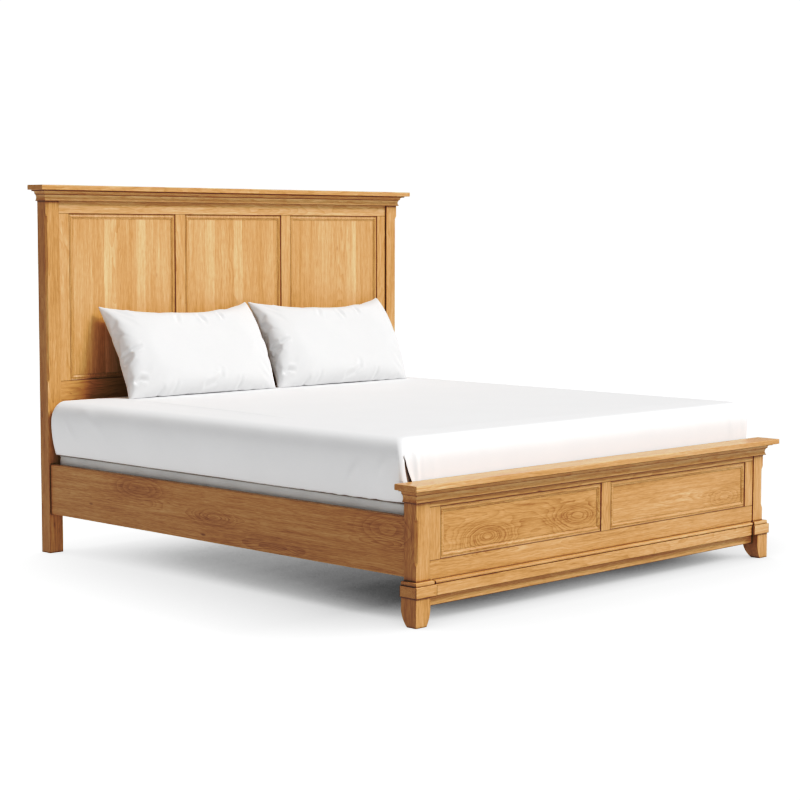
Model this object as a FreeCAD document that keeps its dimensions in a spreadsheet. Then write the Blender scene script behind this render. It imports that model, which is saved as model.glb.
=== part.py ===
import FreeCAD, Part
import math
import os
import Sketcher
from FreeCAD import Placement, Rotation, Vector

# A king size panel bed: panelled headboard and footboard, two side rails, slats on a
# centre beam, a foundation, a mattress under its sheet, and two pillows.
# Millimetres. X runs across the bed, Y from the foot (-) to the head (+), Z up from
# the floor. The origin is on the floor under the middle of the bed.

VALUES = {
    # the whole bed
    "BedWidth": 2048,  # over the foot posts
    "InsideLength": 2080,  # from the foot posts to the head posts
    "HeadHeight": 1530,
    "FootHeight": 492,
    "HeadInset": 3,  # each head post stands this far inside the line of the foot posts
    "PostWidth": 66,
    "PostDepth": 58,
    # the crown of each board: cap, cove moulding and frieze
    "CapThickness": 21,
    "CapOverhang": 47,
    "CapRound": 3,
    "CoveHeight": 17,
    "CoveReach": 28,
    "CoveFoot": 13,
    "CoveLip": 5,
    "CoveHollow": 4.5,
    "CoveStep": 2,
    "FriezeHeight": 28,
    "FriezeReach": 9,
    "FriezeHollow": 4,
    "FriezeLip": 2.5,
    # frame and panel work
    "BoardThickness": 22,
    "HeadRecess": 8,  # the headboard's frame lies this far behind its posts' faces
    "FootRecess": 3,
    "StileWidth": 57,
    "GrooveWidth": 9,
    "GrooveDepth": 8,
    "PanelSetback": 6,
    "PanelPlay": 1.5,
    "StubPlay": 1,
    "HeadOpeningDrop": 117,  # from the top of the cap to the panels
    "HeadRailLow": 540,
    "HeadBottomRail": 178,
    "FootOpeningDrop": 87,
    "FootBottomRail": 121,
    "StretcherLow": 170,
    "StretcherHeight": 90,
    "TenonLength": 25,
    "TenonThickness": 9,
    "TenonShoulder": 10,
    # the moulding round each panel
    "MouldWidth": 21,
    "MouldHigh": 5.2,
    "MouldLand": 2.6,
    "MouldCove": 6,
    "MouldQuirk": 1,
    "MouldBead": 8,
    "MouldToe": 0.8,
    "MouldHollow": 0.8,
    "MouldRound": 1.5,
    # stopped chamfers on the posts' outer front corners
    "ChamferWidth": 8,
    "ChamferRun": 14,
    "HeadChamferDrop": 116,  # from the top of the cap
    "HeadChamferRise": 172,  # from the underside of the bottom rail
    "FootChamferDrop": 112,
    "FootChamferRise": 105,
    # plinth blocks, base moulding, apron and bracket feet
    "PlinthLow": 102,
    "PlinthStep": 141,
    "PlinthTop": 155,
    "LowerReach": 21,
    "UpperReach": 15,
    "LowerWrap": 17,  # past the post's inner face
    "UpperWrap": 9,
    "BaseReach": 13,  # from the face of the bottom rail
    "BaseBeadReach": 16,
    "BaseBead": 12,
    "BaseQuirk": 2,
    "PlinthEase": 2.5,
    "ApronLow": 64,
    "ApronRecess": 11,
    "FootReach": 16,  # the bracket foot stands out past the post
    "FootWidth": 69.5,
    "FootDepth": 72,
    "FootCurve": 60,
    "FootTaperIn": 19,
    "FootTaperBack": 29,
    "FootFullness": 0.22,  # bow of the curve, as a share of the taper
    # side rails, cleats, slats and the centre support
    "RailInset": 10,
    "RailThickness": 25,
    "RailLow": 165,
    "RailHeight": 208,
    "RailEase": 3,
    "CleatWidth": 30,
    "CleatHeight": 35,
    "CleatEnd": 60,
    "SlatTop": 272,
    "SlatThickness": 19,
    "SlatWidth": 70,
    "SlatCount": 11,
    "SlatMargin": 90,
    "SlatEndPlay": 3,
    "BeamWidth": 45,
    "BeamHeight": 60,
    "HangerThickness": 2,
    "HangerWrap": 40,
    "HangerWing": 18,
    "HangerHeight": 30,
    "LegSpacing": 700,
    "LegLow": 22,
    # levelling feet under the centre legs
    "StemRadius": 4,
    "StemPlay": 0.05,
    "StemLow": 3,
    "StemTop": 75,
    "CollarRadius": 7.5,
    "CollarLow": 10,
    "CollarHeight": 5,
    "InsertRadius": 7,
    "InsertLength": 18,
    "LegBore": 5,
    "LegBoreDepth": 70,
    "PadRadius": 20,
    "PadTopRadius": 17,
    "PadHeight": 8,
    # rail hardware
    "PlateThickness": 3,
    "DrillProud": 1,  # a drilled hole starts and ends this far outside its plate
    "HookPlateHeight": 150,
    "HookPlateLength": 42,
    "HookLength": 12,
    "HookHeight": 18,
    "HookNib": 7,
    "HookSpacing": 90,
    "HookScrewInset": 12,  # from the ends of the plate
    "HookScrewPlace": 25,  # from the post
    "SlotPlateHeight": 170,
    "SlotPlateWidth": 28,
    "SlotPlay": 1,
    "SlotDepth": 16,
    "ScrewHead": 3.6,
    "ScrewHeadHeight": 2,
    "ScrewShank": 2,
    "ScrewLength": 16,
    # bedding
    "SoftGap": 0.3,
    "FoundationSideGap": 12,
    "FoundationHeadGap": 3,
    "FoundationFootGap": 36,
    "FoundationThickness": 140,
    "FoundationSplit": 2,
    "FoundationCorner": 20,
    "FoundationRound": 8,
    "MattressOverhang": 14,  # past the line of the foot posts
    "MattressThickness": 231,
    "MattressEndGap": 3.5,
    "MattressTuck": 38,
    "MattressWidest": 140,  # above its underside
    "MattressRound": 60,
    "MattressCrown": 5,
    "MattressCrownRun": 150,
    "MattressEndShare": 0.1,  # how much of the tuck its two ends have
    "HeadCorner": 65,
    "FootCorner": 30,
    "SharpestCorner": 8,
    "SheetThickness": 1.5,
    "SheetHem": 2,  # the hem hangs this far above the underside of the mattress
    "PillowWidth": 800,
    "PillowHeight": 436,
    "PillowThickness": 190,
    "PillowTopDip": 50,  # how far each long edge draws in between the corners
    "PillowBaseDip": 8,
    "PillowBow": 26,  # how far its middle sags forward of its top and bottom edges
    "PillowSeam": 8,
    "PillowAngle": 28,  # degrees from upright
    "PillowGap": 28,
    "PillowShift": 50,  # the pair lies a little to the right of the middle
    "PillowForward": 122,  # middle of a pillow in front of the head posts
    "PillowRise": 180,  # middle of a pillow above the sheet
}

LEFT, RIGHT = -1, 1
FOOT, HEAD = -1, 1
SIDE_NAMES = {LEFT: "left", RIGHT: "right"}
ROUNDING = 0.5  # places on a finished solid that are this near are the same place


class Size:
    """A length with its formula in the sheets and its present value in millimetres."""

    def __init__(self, text, value):
        self.text = text
        self.value = value

    def __add__(self, other):
        other = as_size(other)
        return Size(f"({self.text} + {other.text})", self.value + other.value)

    def __sub__(self, other):
        other = as_size(other)
        return Size(f"({self.text} - {other.text})", self.value - other.value)

    def __mul__(self, other):
        other = as_size(other)
        return Size(f"({self.text} * {other.text})", self.value * other.value)

    def __truediv__(self, other):
        other = as_size(other)
        return Size(f"({self.text} / {other.text})", self.value / other.value)

    def __neg__(self):
        return Size(f"(-1 * {self.text})", -self.value)

    def __radd__(self, other):
        return as_size(other) + self

    def __rsub__(self, other):
        return as_size(other) - self

    def __rmul__(self, other):
        return as_size(other) * self


def as_size(amount):
    """A plain number becomes a size that has no name."""
    if isinstance(amount, Size):
        return amount
    return Size(f"({float(amount)})", float(amount))


class Sheet:
    """One spreadsheet of named cells, read back as attributes."""

    def __init__(self, doc, name):
        self.cells = doc.addObject("Spreadsheet::Sheet", name)
        self.row = 0

    def enter(self, alias, content, value):
        self.row += 1
        cell = f"A{self.row}"
        self.cells.set(cell, content)
        self.cells.setAlias(cell, alias)
        named = Size(f"{self.cells.Name}.{alias}", value)
        setattr(self, alias, named)
        return named


doc = FreeCAD.newDocument("PanelBed")
size = Sheet(doc, "Sizes")
for alias, number in VALUES.items():
    size.enter(alias, str(number), number)
place = Sheet(doc, "Places")


def locate(alias, formula):
    """Keeps a place worked out from the sizes in the second sheet, under its own name."""
    return place.enter(alias, "=" + formula.text, formula.value)


# ---------------------------------------------------------------- sketch and solid tools


def bind(thing, path, amount):
    """Ties a property of an object to a size."""
    thing.setExpression(path, as_size(amount).text)


def put(thing, x=0, y=0, z=0, turn=None):
    """Places an object, with each coordinate tied to its size."""
    if turn is not None:
        thing.Placement = Placement(Vector(), turn)
    for axis, amount in zip("xyz", (x, y, z)):
        bind(thing, f"Placement.Base.{axis}", amount)
    return thing


def new_body(label, x=0, y=0, z=0, turn=None):
    body = doc.addObject("PartDesign::Body", label)
    body.Label = label
    return put(body, x, y, z, turn)


def new_sketch(body, role, offset=0, turn=None):
    """A sketch on one of the body's origin planes, moved along the plane's normal."""
    sketch = body.newObject("Sketcher::SketchObject", "Outline")
    plane = [item for item in body.Origin.OriginFeatures if item.Role == role][0]
    sketch.AttachmentSupport = [(plane, "")]
    sketch.MapMode = "FlatFace"
    if turn is not None:
        sketch.AttachmentOffset = Placement(Vector(), turn)
    bind(sketch, "AttachmentOffset.Base.z", offset)
    return sketch


def pin_point(sketch, edge, end, x, y):
    """Holds one end of an edge at its place from the sketch's origin."""
    for kind, axis, amount in (("DistanceX", -2, x), ("DistanceY", -1, y)):
        if isinstance(amount, Size):
            held = Sketcher.Constraint(kind, -1, 1, edge, end, amount.value)
            index = sketch.addConstraint(held)
            bind(sketch, f"Constraints[{index}]", amount)
        elif amount == 0:
            sketch.addConstraint(Sketcher.Constraint("PointOnObject", edge, end, axis))
        else:
            held = Sketcher.Constraint(kind, -1, 1, edge, end, float(amount))
            sketch.addConstraint(held)


def outline(sketch, corners):
    """Draws a closed outline, anticlockwise. A corner is (x, y), or (x, y, bulge) where
    the edge that leaves it is an arc that bows out by the bulge, or in if that is negative."""
    points = [Vector(as_size(c[0]).value, as_size(c[1]).value, 0) for c in corners]
    first = sketch.GeometryCount
    ends = []
    for i, corner in enumerate(corners):
        start, stop = points[i], points[(i + 1) % len(points)]
        edge = first + i
        if len(corner) == 2:
            sketch.addGeometry(Part.LineSegment(start, stop))
            ends.append((edge, 1, 2))
            continue
        bulge = as_size(corner[2])
        chord = stop - start
        outward = Vector(chord.y, -chord.x, 0).normalize()
        middle = (start + stop) * 0.5 + outward * bulge.value
        if bulge.value > 0:
            sketch.addGeometry(Part.Arc(start, middle, stop))
            ends.append((edge, 1, 2))
        else:
            sketch.addGeometry(Part.Arc(stop, middle, start))
            ends.append((edge, 2, 1))
    for i, corner in enumerate(corners):
        edge, start, stop = ends[i]
        follower, follower_start, _ = ends[(i + 1) % len(ends)]
        sketch.addConstraint(
            Sketcher.Constraint("Coincident", edge, stop, follower, follower_start)
        )
        pin_point(sketch, edge, start, corner[0], corner[1])
        if len(corner) == 3:
            after = corners[(i + 1) % len(corners)]
            across = as_size(after[0]) - corner[0]
            along = as_size(after[1]) - corner[1]
            bulge = as_size(corner[2])
            sagitta = bulge if bulge.value > 0 else -bulge
            radius = ((across * across + along * along) / 4 + sagitta * sagitta) / (2 * sagitta)
            index = sketch.addConstraint(Sketcher.Constraint("Radius", edge, radius.value))
            bind(sketch, f"Constraints[{index}]", radius)


def rectangle(sketch, left, low, width, height):
    right, top = as_size(left) + width, as_size(low) + height
    outline(sketch, [(left, low), (right, low), (right, top), (left, top)])


def circle(sketch, x, y, radius):
    radius = as_size(radius)
    centre = Vector(as_size(x).value, as_size(y).value, 0)
    edge = sketch.addGeometry(Part.Circle(centre, Vector(0, 0, 1), radius.value))
    pin_point(sketch, edge, 3, x, y)
    index = sketch.addConstraint(Sketcher.Constraint("Radius", edge, radius.value))
    bind(sketch, f"Constraints[{index}]", radius)


def pad(body, sketch, length, back=False):
    feature = body.newObject("PartDesign::Pad", "Pad")
    feature.Profile = sketch
    feature.Reversed = back
    bind(feature, "Length", length)
    return feature


def carve(body, sketch, depth=None, back=False):
    """Pockets below the sketch to a depth, or above it, or right through both ways."""
    before = settle(body).Volume
    feature = body.newObject("PartDesign::Pocket", "Pocket")
    feature.Profile = sketch
    if depth is None:
        feature.SideType = "Symmetric"
        feature.Type = "ThroughAll"
    else:
        feature.Reversed = back
        bind(feature, "Length", depth)
    if settle(body).Volume > before - 1e-3:
        raise RuntimeError(f"a pocket of {body.Label} cut nothing")
    return feature


def settle(body):
    doc.recompute()
    return body.Shape


def add_block(body, corner, extent):
    sketch = new_sketch(body, "XY_Plane", corner[2])
    rectangle(sketch, corner[0], corner[1], extent[0], extent[1])
    return pad(body, sketch, extent[2])


def cut_block(body, corner, extent):
    sketch = new_sketch(body, "XY_Plane", as_size(corner[2]) + extent[2])
    rectangle(sketch, corner[0], corner[1], extent[0], extent[1])
    return carve(body, sketch, extent[2])


def meets(first, second):
    """Whether two places on a finished solid are the same, to within its rounding."""
    return abs(first - second) < ROUNDING


def round_edges(body, radius, chosen):
    """Rounds the edges of the body that the test chooses, by their middle point."""
    shape = settle(body)
    names = []
    for i, edge in enumerate(shape.Edges, start=1):
        middle = edge.valueAt((edge.FirstParameter + edge.LastParameter) / 2)
        if chosen(body.Placement.inverse().multVec(middle), edge):
            names.append(f"Edge{i}")
    base = body.Tip
    feature = body.newObject("PartDesign::Fillet", "Fillet")
    feature.Base = (base, names)
    bind(feature, "Radius", radius)
    return feature


def box(label, centre, extent):
    """A plain block, placed by its middle."""
    block = doc.addObject("Part::Box", label)
    for name, axis, middle, length in zip(("Length", "Width", "Height"), "xyz", centre, extent):
        bind(block, name, length)
        bind(block, f"Placement.Base.{axis}", as_size(middle) - as_size(length) / 2)
    return block


def rod(label, base, radius, length, way=Vector(0, 0, 1)):
    """A cylinder from its base point along a direction."""
    cylinder = doc.addObject("Part::Cylinder", label)
    bind(cylinder, "Radius", radius)
    bind(cylinder, "Height", length)
    return put(cylinder, *base, turn=Rotation(Vector(0, 0, 1), way))


def joined(label, pieces):
    whole = doc.addObject("Part::MultiFuse", label)
    whole.Shapes = pieces
    return whole


def less(label, base, tool):
    rest = doc.addObject("Part::Cut", label)
    rest.Base = base
    rest.Tool = tool
    return rest


def group(label, pieces):
    """Like pieces that share a node, as separate solids."""
    whole = doc.addObject("Part::Compound", label)
    whole.Label = label
    whole.Links = pieces
    nodes.append(whole)
    return whole


def form(label, shape):
    """A soft form that only a loft can give."""
    feature = doc.addObject("Part::Feature", label)
    feature.Label = label
    feature.Shape = shape
    nodes.append(feature)
    return feature


nodes = []

# ---------------------------------------------------------------- main places

length_over_all = size.CapOverhang + 2 * size.PostDepth + size.InsideLength
foot_front = locate("FootFront", size.CapOverhang - length_over_all / 2)
foot_back = locate("FootBack", foot_front + size.PostDepth)
head_front = locate("HeadFront", foot_back + size.InsideLength)
foot_half = locate("FootHalf", size.BedWidth / 2)
head_half = locate("HeadHalf", foot_half - size.HeadInset)
rail_outer = locate("RailOuter", foot_half - size.RailInset)
rail_inner = locate("RailInner", rail_outer - size.RailThickness)
cleat_top = locate("CleatTop", size.SlatTop - size.SlatThickness)
beam_low = locate("BeamLow", cleat_top - size.BeamHeight)
foot_frame = locate("FootFrame", foot_front + size.FootRecess)
head_frame = locate("HeadFrame", head_front + size.HeadRecess)
rail_middle = locate("RailMiddle", size.RailLow + size.RailHeight / 2)
inside_middle = locate("InsideMiddle", (foot_back + head_front) / 2)
mattress_low = locate("MattressLow", size.SlatTop + 2 * size.SoftGap + size.FoundationThickness)
sheet_top = locate("SheetTop", mattress_low + size.MattressThickness + size.SheetThickness)


class Board:
    """What differs between the headboard and the footboard."""

    def __init__(self, name, half, front, frame, top, drop, rail_low, rail_height):
        self.name = name
        self.half = half
        self.inner = half - size.PostWidth
        self.front = front
        self.back = front + size.PostDepth
        self.frame = frame
        self.top = top
        self.cap_low = top - size.CapThickness
        self.opening_low = rail_low + rail_height
        self.opening_top = top - drop
        self.rail_low = rail_low


head = Board(
    "headboard", head_half, head_front, head_frame, size.HeadHeight,
    size.HeadOpeningDrop, size.HeadRailLow, size.HeadBottomRail,
)
foot = Board(
    "footboard", foot_half, foot_front, foot_frame, size.FootHeight,
    size.FootOpeningDrop, size.PlinthLow, size.FootBottomRail,
)

# ---------------------------------------------------------------- mitred strips

FACING = {  # turns of a strip that runs along a post face, with its profile outwards
    "front": Rotation(Vector(0, 0, 1), 180),
    "left": Rotation(Vector(0, 0, 1), 90),
    "right": Rotation(Vector(0, 0, 1), -90),
}
AROUND = {  # turns of a strip that lies on a panel, with its profile inwards
    "low": Rotation(Vector(1, 0, 0), 90),
    "right": Rotation(Vector(0, 1, 0), -90).multiply(Rotation(Vector(1, 0, 0), 90)),
    "top": Rotation(Vector(0, 1, 0), 180).multiply(Rotation(Vector(1, 0, 0), 90)),
    "left": Rotation(Vector(0, 1, 0), 90).multiply(Rotation(Vector(1, 0, 0), 90)),
}


def strip(label, profile, length, depth, mitres, at, turn):
    """A moulding along local X. Its profile lies in local Y and Z, and each end is square
    (0), mitred so that the strip grows with Y (-1), or so that it shrinks with Y (1)."""
    body = new_body(label, *at, turn=turn)
    start = -1 * depth if mitres[0] < 0 else 0
    over = depth if mitres[1] < 0 else 0
    sketch = new_sketch(body, "YZ_Plane", start)
    outline(sketch, profile)
    pad(body, sketch, length + over - start)
    for mitre, end, way in ((mitres[0], 0, 1), (mitres[1], length, -1)):
        if mitre == 0:
            continue
        tip = as_size(end) + way * mitre * depth
        corner = (end, depth) if mitre > 0 else (tip, 0)
        sketch = new_sketch(body, "XY_Plane")
        outline(sketch, [(end, 0), (tip, depth), corner])
        carve(body, sketch)
    return body


def crown_strips(board, label, profile, reach, low):
    """A front strip and two returns, mitred at the posts' outer corners."""
    low = as_size(low)
    front = strip(
        f"{label}_front", profile, 2 * board.half, reach, (-1, -1),
        (board.half, board.front, low), FACING["front"],
    )
    left = strip(
        f"{label}_left", profile, size.PostDepth, reach, (-1, 0),
        (-board.half, board.front, low), FACING["left"],
    )
    right = strip(
        f"{label}_right", profile, size.PostDepth, reach, (0, -1),
        (board.half, board.back, low), FACING["right"],
    )
    group(label, [front, left, right])


def crown(board):
    """The cap board, and under it the cove moulding and the hollowed frieze."""
    label = f"{board.name}_cap"
    width = 2 * (board.half + size.CapOverhang)
    depth = size.PostDepth + size.CapOverhang
    body = new_body(label, 0, board.front - size.CapOverhang, board.cap_low)
    add_block(body, (-width / 2, 0, 0), (width, depth, size.CapThickness))
    round_edges(
        body, size.CapRound,
        lambda middle, edge: (
            not meets(middle.y, depth.value) and edge.Length > depth.value - ROUNDING
        ),
    )
    nodes.append(body)

    lip = size.CoveHeight - size.CoveLip
    cove = [
        (0, 0), (size.CoveFoot, 0), (size.CoveFoot, size.CoveStep, -size.CoveHollow),
        (size.CoveReach - size.CoveStep, lip), (size.CoveReach, lip),
        (size.CoveReach, size.CoveHeight), (0, size.CoveHeight),
    ]
    cove_low = board.cap_low - size.CoveHeight
    crown_strips(board, f"{board.name}_cove_moulding", cove, size.CoveReach, cove_low)

    upper = size.FriezeHeight - size.FriezeLip
    frieze = [
        (0, 0), (size.FriezeReach, 0),
        (size.FriezeReach, size.FriezeLip, -size.FriezeHollow),
        (size.FriezeReach, upper), (size.FriezeReach, size.FriezeHeight),
        (0, size.FriezeHeight),
    ]
    frieze_low = cove_low - size.FriezeHeight
    crown_strips(board, f"{board.name}_frieze", frieze, size.FriezeReach, frieze_low)


# ---------------------------------------------------------------- frame and panel work


def frame_rail(label, board, low, top, grooved=None):
    """A rail between two posts, tenoned into both, with a groove for panels and stiles
    along its low or its top edge."""
    width = 2 * board.inner
    height = as_size(top) - low
    body = new_body(label, -board.inner, board.frame, low)
    add_block(body, (0, 0, 0), (width, size.BoardThickness, height))
    side = (size.BoardThickness - size.TenonThickness) / 2
    tenon = (size.TenonLength, size.TenonThickness, height - 2 * size.TenonShoulder)
    for x in (-size.TenonLength, width):
        add_block(body, (x, side, size.TenonShoulder), tenon)
    if grooved is not None:
        z = 0 if grooved == "low" else height - size.GrooveDepth
        cut_block(body, (0, size.PanelSetback, z), (width, size.GrooveWidth, size.GrooveDepth))
    nodes.append(body)
    return body


def stile(label, board, x, grooved):
    """An upright between the rails, stub tenoned into their grooves, and grooved itself
    on the sides that carry a panel."""
    height = board.opening_top - board.opening_low
    stub = size.GrooveDepth - size.StubPlay
    body = new_body(label, x, board.frame, board.opening_low)
    add_block(body, (0, 0, 0), (size.StileWidth, size.BoardThickness, height))
    for z in (-stub, height):
        add_block(body, (0, size.PanelSetback, z), (size.StileWidth, size.GrooveWidth, stub))
    for side in grooved:
        at = 0 if side == LEFT else size.StileWidth - size.GrooveDepth
        run = height + 2 * stub
        cut_block(body, (at, size.PanelSetback, -stub), (size.GrooveDepth, size.GrooveWidth, run))
    nodes.append(body)


def panel(label, board, x, width):
    """A flat panel, loose in the grooves round its opening."""
    edge = size.GrooveDepth - size.PanelPlay
    height = board.opening_top - board.opening_low
    body = new_body(label, x - edge, board.frame + size.PanelSetback, board.opening_low - edge)
    extent = (width + 2 * edge, size.GrooveWidth, height + 2 * edge)
    add_block(body, (0, 0, 0), extent)
    nodes.append(body)


def panel_moulding(label, board, x, width):
    """Four mitred strips that lie on the panel against the edge of its opening."""
    land = size.MouldCove + size.MouldQuirk
    bead = land + size.MouldBead
    profile = [
        (0, 0), (size.MouldWidth, 0), (size.MouldWidth, size.MouldToe, -size.MouldHollow),
        (bead, size.MouldLand, size.MouldRound), (land, size.MouldLand),
        (size.MouldCove, size.MouldLand, -size.MouldHollow), (0, size.MouldHigh),
    ]
    y = board.frame + size.PanelSetback
    height = board.opening_top - board.opening_low
    far = x + width
    runs = {
        "low": (width, (x, y, board.opening_low)),
        "right": (height, (far, y, board.opening_low)),
        "top": (width, (far, y, board.opening_top)),
        "left": (height, (x, y, board.opening_top)),
    }
    strips = []
    for name, (length, corner) in runs.items():
        turn = AROUND[name]
        strips.append(
            strip(f"{label}_{name}", profile, length, size.MouldWidth, (1, 1), corner, turn)
        )
    group(label, strips)


def panelled_frame(board, panel_names, stile_names):
    """Top and bottom rails, stiles, panels and their mouldings, from left to right."""
    frame_rail(f"{board.name}_top_rail", board, board.opening_top, board.cap_low, "low")
    frame_rail(f"{board.name}_bottom_rail", board, board.rail_low, board.opening_low, "top")
    count = len(panel_names)
    opening = (2 * board.inner - (count + 1) * size.StileWidth) / count
    pitch = opening + size.StileWidth
    for i, name in enumerate(stile_names):
        sides = [LEFT] * (i > 0) + [RIGHT] * (i < count)
        stile(f"{board.name}_{name}_stile", board, i * pitch - board.inner, sides)
    for i, name in enumerate(panel_names):
        x = i * pitch + size.StileWidth - board.inner
        panel(f"{board.name}_{name}_panel", board, x, opening)
        panel_moulding(f"{board.name}_{name}_panel_moulding", board, x, opening)


def post(board, side, bottom, rails, rise, drop):
    """A square post with mortises for its rails, a seat for the slotted plate, and a
    stopped chamfer down its outer front corner. The local origin is that corner."""
    label = f"{board.name}_{SIDE_NAMES[side]}_post"
    body = new_body(label, side * board.half, board.front, bottom)
    left = 0 if side == LEFT else -1 * size.PostWidth
    height = board.cap_low - bottom
    add_block(body, (left, 0, 0), (size.PostWidth, size.PostDepth, height))

    margin = (size.BoardThickness - size.TenonThickness) / 2
    y = board.frame - board.front + margin
    mouth = size.PostWidth - size.TenonLength
    x = mouth if side == LEFT else -1 * size.PostWidth
    for low, top in rails:
        z = as_size(low) + size.TenonShoulder - bottom
        run = as_size(top) - low - 2 * size.TenonShoulder
        cut_block(body, (x, y, z), (size.TenonLength, size.TenonThickness, run))

    seat_slotted_plate(body, board, side, bottom)

    deep = size.ChamferWidth / math.sqrt(2)
    low, top = board.rail_low + rise - bottom, board.top - drop - bottom
    angle = 45 if side == LEFT else 135
    sketch = new_sketch(body, "XZ_Plane", 0, Rotation(Vector(0, 1, 0), angle))
    outline(sketch, [
        (-2, low), (0, low), (deep, low + size.ChamferRun),
        (deep, top - size.ChamferRun), (0, top), (-2, top),
    ])
    carve(body, sketch)
    nodes.append(body)


# ---------------------------------------------------------------- rail hardware


def plate_lines(board):
    """Where the rail hardware meets a board: the face of its posts, and the way into them."""
    if board is head:
        return board.front, 1
    return board.back, -1


def hook_heights():
    """Lower edges of the two hooks of a plate."""
    low = rail_middle - size.HookSpacing / 2 - size.HookHeight / 2
    return (low, low + size.HookSpacing)


def seat_slotted_plate(body, board, side, bottom):
    """Cuts a shallow seat for the slotted plate, and a pocket behind each slot."""
    face, way = plate_lines(board)
    middle = side * (rail_inner - size.PlateThickness / 2) - side * board.half
    depth = size.PlateThickness
    y = (face - board.front) if way > 0 else (face - board.front - depth)
    low = rail_middle - size.SlotPlateHeight / 2 - bottom
    cut_block(
        body, (middle - size.SlotPlateWidth / 2, y, low),
        (size.SlotPlateWidth, depth, size.SlotPlateHeight),
    )
    slot = size.PlateThickness + 2 * size.SlotPlay
    y = (face - board.front + depth) if way > 0 else (face - board.front - depth - size.SlotDepth)
    for hook_low in hook_heights():
        low = hook_low - size.HookNib - size.SlotPlay - bottom
        run = size.HookHeight + size.HookNib + 2 * size.SlotPlay
        cut_block(body, (middle - slot / 2, y, low), (slot, size.SlotDepth, run))


def hook_plate(board, side):
    """A flat steel plate on the inner face of a side rail, with two hooks past its end."""
    face, way = plate_lines(board)
    label = f"hook_plate_{board.name}_{SIDE_NAMES[side]}"
    low = rail_middle - size.HookPlateHeight / 2
    x = -rail_inner if side == LEFT else rail_inner - size.PlateThickness
    body = new_body(label, x, face, low)
    inside = -way * size.HookPlateLength
    tip = way * size.HookLength
    root = way * size.PlateThickness
    corners = [(0, 0), (0, size.HookPlateHeight), (inside, size.HookPlateHeight), (inside, 0)]
    for hook_low in reversed(hook_heights()):
        z = hook_low - low
        top = z + size.HookHeight
        hook = [
            (0, top), (tip, top), (tip, z - size.HookNib), (root, z - size.HookNib),
            (root, z), (0, z),
        ]
        corners[1:1] = hook[::-1]
    if way > 0:
        corners.reverse()
    sketch = new_sketch(body, "YZ_Plane")
    outline(sketch, corners)
    pad(body, sketch, size.PlateThickness)
    return body


def slotted_plate(board, side):
    """A steel plate let into the post, with a slot for each hook."""
    face, way = plate_lines(board)
    label = f"slotted_plate_{board.name}_{SIDE_NAMES[side]}"
    middle = side * (rail_inner - size.PlateThickness / 2)
    y = face if way > 0 else face - size.PlateThickness
    low = rail_middle - size.SlotPlateHeight / 2
    body = new_body(label, middle, y, low)
    add_block(
        body, (-size.SlotPlateWidth / 2, 0, 0),
        (size.SlotPlateWidth, size.PlateThickness, size.SlotPlateHeight),
    )
    slot = size.PlateThickness + 2 * size.SlotPlay
    for hook_low in hook_heights():
        z = hook_low - size.HookNib - size.SlotPlay - low
        run = size.HookHeight + size.HookNib + 2 * size.SlotPlay
        cut_block(body, (-slot / 2, 0, z), (slot, size.PlateThickness, run))
    return body


def screw(label, seat, way):
    """A pan head screw: its seat is the face that the head bears on, its way is inwards."""
    shank = rod(f"{label}_shank", seat, size.ScrewShank, size.ScrewLength, way)
    head_part = rod(f"{label}_head", seat, size.ScrewHead, size.ScrewHeadHeight, way * -1)
    return joined(label, [shank, head_part])


# ---------------------------------------------------------------- plinths, base and feet


def plinth_block(side):
    """Two tiers that wrap a foot post's front and both sides, square at the back."""
    label = f"footboard_{SIDE_NAMES[side]}_plinth_block"
    body = new_body(label, side * foot.half, foot.front, size.PlinthLow)
    flip = -1 * side  # local X runs inwards from the post's outer face
    tiers = (
        (0, size.PlinthStep - size.PlinthLow, size.LowerReach, size.LowerWrap),
        (
            size.PlinthStep - size.PlinthLow, size.PlinthTop - size.PlinthStep,
            size.UpperReach, size.UpperWrap,
        ),
    )
    for offset, height, reach, wrap in tiers:
        corners = [
            (-flip * reach, -reach), (flip * (size.PostWidth + wrap), -reach),
            (flip * (size.PostWidth + wrap), size.FootRecess),
            (flip * size.PostWidth, size.FootRecess), (flip * size.PostWidth, 0),
            (0, 0), (0, size.PostDepth), (-flip * reach, size.PostDepth),
        ]
        if flip < 0:
            corners.reverse()
        sketch = new_sketch(body, "XY_Plane", offset)
        outline(sketch, corners)
        pad(body, sketch, height)
    step = (size.PlinthStep - size.PlinthLow).value
    top = (size.PlinthTop - size.PlinthLow).value
    fronts = {step: -size.LowerReach.value, top: -size.UpperReach.value}
    round_edges(
        body, size.PlinthEase,
        lambda middle, edge: any(
            meets(middle.z, z) and meets(middle.y, y) for z, y in fronts.items()
        ),
    )
    nodes.append(body)


def base_moulding():
    """The flat band with a bead on top, along the bottom rail between the plinth blocks."""
    start = foot.inner - size.LowerWrap
    bead_low = size.PlinthTop - size.PlinthLow - size.BaseBead
    top = size.PlinthTop - size.PlinthLow
    profile = [
        (0, 0), (size.BaseReach, 0), (size.BaseReach, bead_low - size.BaseQuirk),
        (size.BaseReach - size.BaseQuirk, bead_low - size.BaseQuirk),
        (size.BaseReach - size.BaseQuirk, bead_low),
        (size.BaseReach, bead_low, size.BaseBeadReach - size.BaseReach),
        (size.BaseReach, top - size.BaseQuirk), (0, top),
    ]
    body = new_body(
        "footboard_base_moulding", start, foot.frame, size.PlinthLow, FACING["front"]
    )
    sketch = new_sketch(body, "YZ_Plane", 0)
    outline(sketch, profile)
    pad(body, sketch, 2 * start)
    nodes.append(body)


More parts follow.
